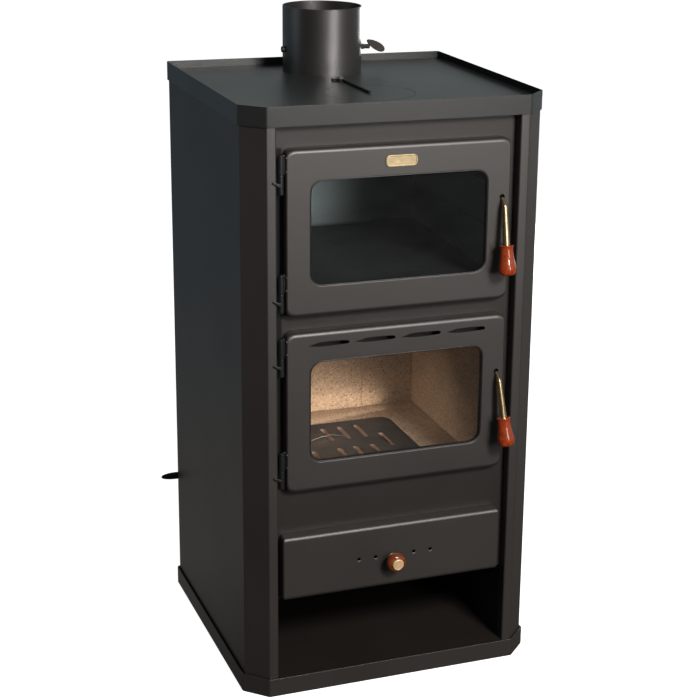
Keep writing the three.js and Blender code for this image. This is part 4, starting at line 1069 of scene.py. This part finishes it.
class STOVE_OT_handles(bpy.types.Operator):
    """Makes the brass handles with their turned wooden grips, and finishes the latch tongues"""

    bl_idname = "stove.handles"
    bl_label = "Door handles"

    def execute(self, context):
        rod = context.scene.stove_sizes.rod
        seat = Vector((0, -0.0219, -0.0693))  # of the grip, from where the rod leaves the door
        grip_radius, grip_length = 0.0138, 0.0475
        # Each place on the rod's neck, out from the door and down, with its share of the radius
        neck = [
            (0.0135, 0, 0.63), (0.006, 0, 0.63), (-0.0003, 0, 0.63), (-0.002, -0.0007, 0.63),
            (-0.0035, -0.002, 0.65), (-0.0082, -0.0066, 0.75), (-0.0098, -0.0084, 0.95),
            (-0.0109, -0.0104, 1.14), (-0.0115, -0.0126, 1.2),
        ]
        grip_shares = [
            (0.35, 0), (0.76, 0.004), (0.82, 0.02), (0.83, 0.04), (0.77, 0.065), (0.745, 0.13),
            (0.75, 0.24), (0.79, 0.38), (0.9, 0.56), (0.99, 0.72), (0.97, 0.85), (0.83, 0.94),
            (0.5, 0.985), (0.05, 1),
        ]
        steps, swelling, short = 8, 0.43, 0.0003  # of the rod between its elbow and the grip
        for prefix, tilt in (("oven", 0.0), ("fire", 0.08)):
            pivot = joint_place[f"{prefix}_handle_turn"]
            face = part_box(f"{prefix}_door_frame")[0].y
            path = [(0, y, z) for y, z, share in neck]
            radii = [share for y, z, share in neck]
            elbow = Vector(path[-1])
            down = (seat - elbow).normalized()
            length = (seat - elbow).length - short
            for i in range(1, steps + 1):
                path.append(tuple(elbow + down * length * i / steps))
                radii.append(neck[-1][2] + swelling * i / steps)
            bar = swept(f"{prefix}_handle_bar", path, rod, radii)
            profile = flowing(grip_shares, grip_radius, grip_length, 3)
            grip = turned(f"{prefix}_grip_turned", profile, tuple(seat), tuple(down), 48)
            place = Matrix.Translation((pivot.x, face, pivot.z)) @ Matrix.Rotation(-tilt, 4, "Y")
            for obj in (bar, grip):
                obj.matrix_world = place
                settle(obj)
            smooth(grip, 60)
            dress(grip, "grip_wood", f"{prefix}_handle_grip")
            smooth(bar, 50)
            dress(bar, "brass", f"{prefix}_handle_rod")
            skin(f"{prefix}_latch_tongue", "raw_steel", 0.0004)
        return {"FINISHED"}


class STOVE_OT_hinges(bpy.types.Operator):
    """Makes the turned hinge halves, with their tabs and straps"""

    bl_idname = "stove.hinges"
    bl_label = "Hinges"

    def execute(self, context):
        for prefix in ("oven", "fire"):
            axis = joint_place[f"{prefix}_door_hinge"]
            for end in ("upper", "lower"):
                self.shell_half(f"{prefix}_{end}_hinge", f"{prefix}_{end}_knuckle", axis)
                self.door_half(f"{prefix}_{end}_knuckle", axis)
        return {"FINISHED"}

    def shell_half(self, node, knuckle, axis):
        """The half on the shell: a turned barrel with the pin, and a strap with a raised, narrow tip."""
        low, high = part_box(node)
        knuckle_low, knuckle_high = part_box(knuckle)
        length = knuckle_high.z - knuckle_low.z
        total = high.z - low.z
        outer, pin = 0.0048, 0.0025
        barrel = turned("barrel", [
            (0.0038, 0), (0.0045, 0.0003), (outer, 0.001), (outer, length - 0.001),
            (0.0045, length - 0.0003), (0.0026, length), (pin, length + 0.001),
            (pin, total - 0.0006), (0.0019, total),
        ], (axis.x, axis.y, low.z), (0, 0, 1), 32)
        foot, head = low.z + 0.0105, low.z + 0.0165
        rise = 0.0055
        strap = block("strap", (low.x, low.y, foot), (axis.x - 0.001, low.y + 0.0024, head))
        pick(strap, "FACE", lambda centre, normal: normal.x < -0.9)
        bpy.ops.transform.translate(value=(0, 0, rise))
        bpy.ops.transform.resize(value=(1, 1, 0.5), center_override=(low.x, low.y, (foot + head) / 2 + rise))
        bpy.ops.object.mode_set(mode="OBJECT")
        round_edges(strap, lambda first, last: True, 0.0007, 2)
        half = joined(f"{node}_turned", [barrel, strap])
        smooth(half, 45)
        dress(half, "black_enamel", node)

    def door_half(self, node, axis):
        """The half on the door: a sleeve round the pin, and its tab."""
        low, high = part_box(node)
        length = high.z - low.z
        bore, outer = 0.0028, 0.0048
        sleeve = turned("sleeve", [
            (bore, 0), (0.0044, 0), (outer, 0.0004), (outer, length - 0.0004),
            (0.0044, length), (bore, length), (bore, 0),
        ], (axis.x, axis.y, low.z), (0, 0, 1), 32, True)
        tab = block("tab", (high.x - 0.003, high.y - 0.01, low.z), high)
        round_edges(tab, lambda first, last: True, 0.0006, 2)
        leaf = joined(f"{node}_turned", [sleeve, tab])
        smooth(leaf, 45)
        dress(leaf, "black_enamel", node)


class STOVE_OT_badge(bpy.types.Operator):
    """Makes the small plain brass plate on the oven door, with a raised rim and two pins"""

    bl_idname = "stove.badge"
    bl_label = "Plain plate"

    def execute(self, context):
        low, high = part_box("badge_plate")
        plate = node_block("plain_plate", "badge_plate")
        round_edges(plate, runs_along(1), 0.0064, 10)
        pick(plate, "FACE", lambda centre, normal: normal.y < -0.9)
        # The rim's outer edge, its flat, and the slope down to the face
        for border in (0.0006, 0.001, 0.0005):
            bpy.ops.mesh.inset(thickness=border)
        bpy.ops.transform.translate(value=(0, 0.001, 0))
        bpy.ops.object.mode_set(mode="OBJECT")
        round_edges(plate, lies_at(1, low.y), 0.00025, 2)
        inset, middle = 0.0065, (low.z + high.z) / 2
        profile = [(0.0014, 0), (0.0014, 0.0003), (0.001, 0.0006), (0.0003, 0.0007)]
        pins = [
            turned("pin", profile, (x, low.y + 0.0007, middle), (0, -1, 0), 16)
            for x in (low.x + inset, high.x - inset)
        ]
        plate = joined("plain_plate", [plate] + pins)
        smooth(plate, 40)
        dress(plate, "plate_brass", "badge_plate")
        return {"FINISHED"}


# Ash drawer


class STOVE_OT_drawer(bpy.types.Operator):
    """Makes the pressed front of the ash drawer with its air holes, and finishes its box"""

    bl_idname = "stove.drawer"
    bl_label = "Ash drawer"

    def execute(self, context):
        node = "ash_drawer_front"
        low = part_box(node)[0]
        corner, edge, sheet = 0.0085, 0.0065, 0.002
        front = pressed_tray("ash_drawer_pressed", node, corner, edge, sheet)
        knob_low, knob_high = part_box("drawer_knob_ring")
        air_hole, bolt_hole = 0.0035, 0.0033
        rise, inner, outer = 0.0525, 0.0324, 0.0604  # of the air holes, up and out from the middle
        holes = [(x, low.z + rise, air_hole) for x in (-outer, -inner, inner, outer)]
        holes.append(((knob_low.x + knob_high.x) / 2, (knob_low.z + knob_high.z) / 2, bolt_hole))
        for x, z, radius in holes:
            mouth, throat = radius + 0.0012, radius - 0.001
            profile = [(mouth, 0), (mouth, 0.01), (throat, 0.0112), (throat, 0.02)]
            cut_away(front, turned("hole", profile, (x, low.y - 0.01, z), (0, 1, 0), 28))
        smooth(front, 40)
        dress(front, "black_paint", node)
        skin("ash_drawer_box", "drawer_steel", 0.0004)
        return {"FINISHED"}


class STOVE_OT_knob(bpy.types.Operator):
    """Makes the drawer's knob: a brass rosette, a turned wooden ring and a brass face"""

    bl_idname = "stove.knob"
    bl_label = "Drawer knob"

    def execute(self, context):
        ring_low, ring_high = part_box("drawer_knob_ring")
        bolt_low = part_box("drawer_knob_bolt")[0]
        x, z = (ring_low.x + ring_high.x) / 2, (ring_low.z + ring_high.z) / 2
        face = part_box("ash_drawer_front")[0].y
        fuller = 1.05  # than the node
        radius = (ring_high.x - ring_low.x) / 2 * fuller
        length = ring_high.y - ring_low.y
        profile = flowing([
            (0.24, 0), (0.5, 0.0), (0.8, 0.08), (0.97, 0.28),
            (1, 0.5), (0.95, 0.74), (0.8, 0.92), (0.6, 1.0),
        ], radius, length, 3)
        bore = 0.0033
        profile = [(bore, 0)] + profile[3:] + [(bore, length), (bore, 0)]
        ring = turned("drawer_knob_turned", profile, (x, ring_high.y, z), (0, -1, 0), 48, True)
        smooth(ring, 50)
        dress(ring, "knob_wood", "drawer_knob_ring")

        reach = face - bolt_low.y
        front = face - ring_low.y + 0.0003
        rosette = turned("rosette", [
            (0.003, 0.0003), (0.0092, 0.0003), (0.0095, 0.0007), (0.0093, 0.0012), (0.0082, 0.0016),
            (0.0078, 0.0026), (0.0066, 0.0034), (0.005, 0.0038), (0.0046, 0.0048), (0.003, 0.0052),
        ], (x, face, z), (0, -1, 0), 48)
        stem = turned("stem", [(0.003, -0.0055), (0.003, reach - 0.001)], (x, face, z), (0, -1, 0), 24)
        cap = turned("drawer_knob_cap", [
            (0.004, front), (0.0094, front), (0.0095, front + 0.0004), (0.0093, reach - 0.0012),
            (0.0086, reach - 0.0003), (0.0078, reach), (0.0072, reach - 0.0004), (0.0004, reach - 0.0002),
        ], (x, face, z), (0, -1, 0), 48)
        dimple = (x - 0.0034, bolt_low.y - 0.001, z + 0.0024)
        cut_away(cap, turned("dot", [(0.0011, 0), (0.0011, 0.003)], dimple, (0, 1, 0), 16))
        smooth(cap, 40)
        dress(cap, "knob_brass", body=body_of["drawer_knob_bolt"])
        nut = turned("nut", [
            (0.0058, 0), (0.006, 0.0003), (0.006, 0.0027), (0.0056, 0.003),
        ], (x, face + 0.0023, z), (0, 1, 0), 6)
        bolt = joined("drawer_knob_brass", [rosette, stem, nut])
        smooth(bolt, 40)
        dress(bolt, "brass", "drawer_knob_bolt")
        return {"FINISHED"}


# Rear air register


class STOVE_OT_register(bpy.types.Operator):
    """Finishes the rear air register, and makes its lever's grip"""

    bl_idname = "stove.register"
    bl_label = "Air register"

    def execute(self, context):
        skin("air_inlet_plate", "dark_steel", 0.0004)
        skin("air_register_lever", "dark_steel", 0.0005)
        low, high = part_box("air_lever_grip")
        within = 0.98  # keeps the flowing profile inside the node's box
        radius = min(high.y - low.y, high.z - low.z) / 2 * within
        length = high.x - low.x
        profile = flowing([
            (0.1, 0), (0.75, 0.0), (0.95, 0.06), (1, 0.33), (0.86, 0.66), (0.52, 0.91), (0.03, 1),
        ], radius, length, 4)
        end = (high.x, (low.y + high.y) / 2, (low.z + high.z) / 2)
        grip = turned("air_grip_turned", profile, end, (-1, 0, 0), 32)
        smooth(grip, 60)
        dress(grip, "sooty_steel", "air_lever_grip")
        # The record gives this grip the slot of the wooden ones
        return {"FINISHED"}


# Studio


def backdrop_surface(name, tone, glow, dim, reflected):
    """A matt surface, white in the picture with the stove's shadow on it, and dimmer in reflections.

    In reflections it is dark in front, warm beside the stove, and bluish far behind.
    """
    recipe = Recipe(name, Metallic=0.0, Roughness=0.9)
    mottle = recipe.noise(3, 3)
    recipe.feed(Base_Color=recipe.mix(mottle, toned(tone, 0.99), tone))
    camera, glossy, through = (recipe.rays(kind) for kind in ("Camera", "Glossy", "Transmission"))
    mirrored = recipe.node("ShaderNodeMath", {"operation": "MAXIMUM"}, {0: glossy, 1: through})
    ground = Wire(recipe, recipe.shader.outputs[0])
    white = recipe.node("ShaderNodeEmission", None, {"Color": (*tone, 1), "Strength": glow})
    lit = recipe.node("ShaderNodeAddShader", None, {0: ground, 1: white})
    matt = recipe.node("ShaderNodeBsdfDiffuse", None, {"Color": (*dim, 1)})
    depth = recipe.along(1)
    far = toned((0.75, 0.95, 1.08), 0.75 * reflected[0])
    seen = recipe.mix(recipe.band(depth, 0.4, 2.2), reflected, far)
    seen = recipe.mix(recipe.band(depth, -0.4, 0.3), toned(reflected, 0.1), seen)
    shown = recipe.node("ShaderNodeEmission", None, {"Color": seen, "Strength": 1.0})
    indirect = recipe.shaders(mirrored, matt, shown)
    recipe.show("Material Output", recipe.shaders(camera, indirect, lit))
    return recipe.material


def lamp(name, watts, size, place, target, colour=(1, 1, 1), spread=180):
    """A rectangular soft light at its place, facing the target."""
    deselect()
    bpy.ops.object.light_add(type="AREA", location=place)
    light = bpy.context.object
    light.name = name
    light.data.shape = "RECTANGLE"
    light.data.size, light.data.size_y = size
    light.data.energy = watts
    light.data.color = colour
    light.data.spread = math.radians(spread)
    light.rotation_euler = (Vector(target) - Vector(place)).to_track_quat("-Z", "Y").to_euler()


class STOVE_OT_studio(bpy.types.Operator):
    """Sets up the pale floor, the soft lights, the room and the camera"""

    bl_idname = "stove.studio"
    bl_label = "Studio"

    def execute(self, context):
        scene = context.scene
        settings = scene.stove_studio
        self.floor(settings)
        self.room(scene, settings)
        self.soft_lights(settings)
        self.inner_lights(settings.glow)
        self.camera(scene)
        scene.view_settings.view_transform = "Standard"
        return {"FINISHED"}

    def floor(self, settings):
        """A wide pale floor, a fifth of a millimetre below the stove."""
        deselect()
        bpy.ops.mesh.primitive_plane_add(size=30, location=(0, 0, -0.0002))
        floor = settle(named("studio_floor"))
        everything(floor)
        bpy.ops.mesh.subdivide(number_cuts=6)
        bpy.ops.object.mode_set(mode="OBJECT")
        reflected = toned((1.0, 0.92, 0.84), settings.reflected_floor)
        floor.data.materials.append(backdrop_surface(
            "studio_floor", tone=(0.8, 0.8, 0.8), glow=1.18, dim=(0.22, 0.205, 0.19), reflected=reflected,
        ))

    def room(self, scene, settings):
        """The room: white in the picture, dim on matt surfaces, and uneven in glossy ones.

        There it is bright low down at the right, and dark at the left and above.
        """
        world = bpy.data.worlds.new("studio_room")
        scene.world = world
        world.use_nodes = True
        nodes = Nodes(world.node_tree)
        plain = world.node_tree.nodes["Background"]
        plain.inputs["Color"].default_value = (0.86, 0.94, 1.0, 1)
        plain.inputs["Strength"].default_value = settings.room
        bright, dark, white = (
            nodes.node("ShaderNodeBackground", None, {"Color": (*colour, 1), "Strength": value})
            for colour, value in (
                ((0.88, 1.0, 0.99), settings.reflected),
                ((0.8, 0.93, 1.0), settings.reflected * 0.15),
                ((1.0, 1.0, 1.0), 1.0),
            )
        )
        place = nodes.node("ShaderNodeTexCoord", output="Generated")
        across, up = (
            nodes.node("ShaderNodeSeparateXYZ", None, {0: place}, output=axis) for axis in (0, 2)
        )
        share = nodes.band(across, -0.6, 0.4) * nodes.band(up, 0.3, 0.75, 1.0, 0.0)
        mirrored = nodes.shaders(share, dark, bright)
        shown = Wire(nodes, plain.outputs[0])
        for kind, seen in (("Glossy", mirrored), ("Transmission", mirrored), ("Camera", white)):
            shown = nodes.shaders(nodes.rays(kind), shown, seen)
        nodes.show("World Output", shown)

    def soft_lights(self, settings):
        """The large lights round the stove."""
        warm = (1.0, 0.935, 0.9)
        cold = (0.72, 0.88, 1.0)
        lamp("front_panel", settings.front, (0.6, 0.6), (0.5, -2.5, 2.05), (0, 0, 0.6), warm)
        lamp("low_panel", settings.low, (0.5, 0.7), (0.8, -2.5, 1.1), (0, 0, 0.6), warm)
        lamp("top_panel", settings.above, (1.4, 1.4), (-0.3, -0.2, 2.6), (0, 0, 0.9))
        lamp("side_panel", settings.side, (1.2, 1.6), (-2.6, 0.6, 1.4), (0, 0, 0.5), cold)
        lamp("rear_panel", settings.rear, (1.4, 0.7), (1.9, 2.2, 0.42), (0, 0, 0.42))

    def inner_lights(self, glow):
        """The small lights in the firebox and the oven, each with its share of the glow."""
        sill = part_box("fire_door_glass")[0].z
        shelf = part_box("oven_door_glass")[0].z
        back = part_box("back_lining_wide")[0].y
        bottom = max(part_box(node)[1].z for node in ("floor_board", "grate"))
        flame = (1, 0.82, 0.7)
        cool = (0.85, 1, 0.97)
        for name, share, size, place, target, colour, spread in (
            ("firebox_light", 0.22, (0.2, 0.02),
             (0.02, -0.15, sill + 0.01), (-0.07, 0.15, sill - 0.03), flame, 50),
            ("back_light", 0.14, (0.2, 0.008),
             (0.01, back - 0.055, bottom + 0.006), (0.0, back, bottom + 0.014), flame, 100),
            ("grate_light", 0.35, (0.05, 0.05),
             (-0.15, -0.05, sill + 0.1), (0, 0, sill - 0.03), flame, 80),
            ("oven_light", 0.6, (0.14, 0.02),
             (0.0, -0.16, shelf), (-0.08, 0.14, shelf + 0.05), cool, 44),
        ):
            lamp(name, glow * share, size, place, target, colour, spread)

    def camera(self, scene):
        """The photograph's own view: its place, its turn and its off-centre frame."""
        deselect()
        bpy.ops.object.camera_add()
        camera = bpy.context.object
        camera.name = "photograph_view"
        place = (-0.9159, -2.5672, 1.3777)
        pixels = 700  # width of the photograph, in whose pixels the next three are given
        focal = 1726.1
        centre_x, centre_y = 417.1, 329.5
        yaw, pitch, roll = (math.radians(angle) for angle in (22.0, -17.4, 1.2))
        forward = Vector((
            math.sin(yaw) * math.cos(pitch), math.cos(yaw) * math.cos(pitch), math.sin(pitch),
        ))
        level = Vector((math.cos(yaw), -math.sin(yaw), 0))
        upright = level.cross(forward)
        right = math.cos(roll) * level + math.sin(roll) * upright
        up = math.cos(roll) * upright - math.sin(roll) * level
        turn = Matrix((right, up, -forward)).transposed()
        camera.matrix_world = Matrix.Translation(place) @ turn.to_4x4()
        sensor = 36
        camera.data.sensor_fit = "HORIZONTAL"
        camera.data.sensor_width = sensor
        camera.data.lens = focal * sensor / pixels
        camera.data.shift_x = (pixels / 2 - centre_x) / pixels
        camera.data.shift_y = (centre_y - pixels / 2) / pixels
        camera.data.clip_end = 60
        scene.camera = camera


# Add-on


class STOVE_PT_panel(bpy.types.Panel):
    bl_label = "Wood stove with oven"
    bl_idname = "STOVE_PT_panel"
    bl_space_type = "VIEW_3D"
    bl_region_type = "UI"
    bl_category = "Stove"

    def draw(self, context):
        column = self.layout.column()
        for group in (context.scene.stove_finishes, context.scene.stove_sizes, context.scene.stove_studio):
            for name in group.__annotations__:
                column.prop(group, name)
            column.separator()
        for operator in operators:
            column.operator(operator.bl_idname)


groups = {"stove_finishes": StoveFinishes, "stove_sizes": StoveSizes, "stove_studio": StudioSettings}
operators = (
    STOVE_OT_finishes,
    STOVE_OT_shell,
    STOVE_OT_hob,
    STOVE_OT_flue,
    STOVE_OT_bypass,
    STOVE_OT_oven,
    STOVE_OT_firebox,
    STOVE_OT_doors,
    STOVE_OT_seals,
    STOVE_OT_handles,
    STOVE_OT_hinges,
    STOVE_OT_badge,
    STOVE_OT_drawer,
    STOVE_OT_knob,
    STOVE_OT_register,
    STOVE_OT_studio,
)


def register():
    for group in groups.values():
        bpy.utils.register_class(group)
    for operator in operators:
        bpy.utils.register_class(operator)
    bpy.utils.register_class(STOVE_PT_panel)
    for name, group in groups.items():
        setattr(bpy.types.Scene, name, PointerProperty(type=group))


def unregister():
    for name in groups:
        delattr(bpy.types.Scene, name)
    bpy.utils.unregister_class(STOVE_PT_panel)
    for operator in reversed(operators):
        bpy.utils.unregister_class(operator)
    for group in reversed(tuple(groups.values())):
        bpy.utils.unregister_class(group)


def main():
    register()
    for operator in operators:
        family, name = operator.bl_idname.split(".")
        getattr(getattr(bpy.ops, family), name)()


if __name__ == "__main__":
    main()
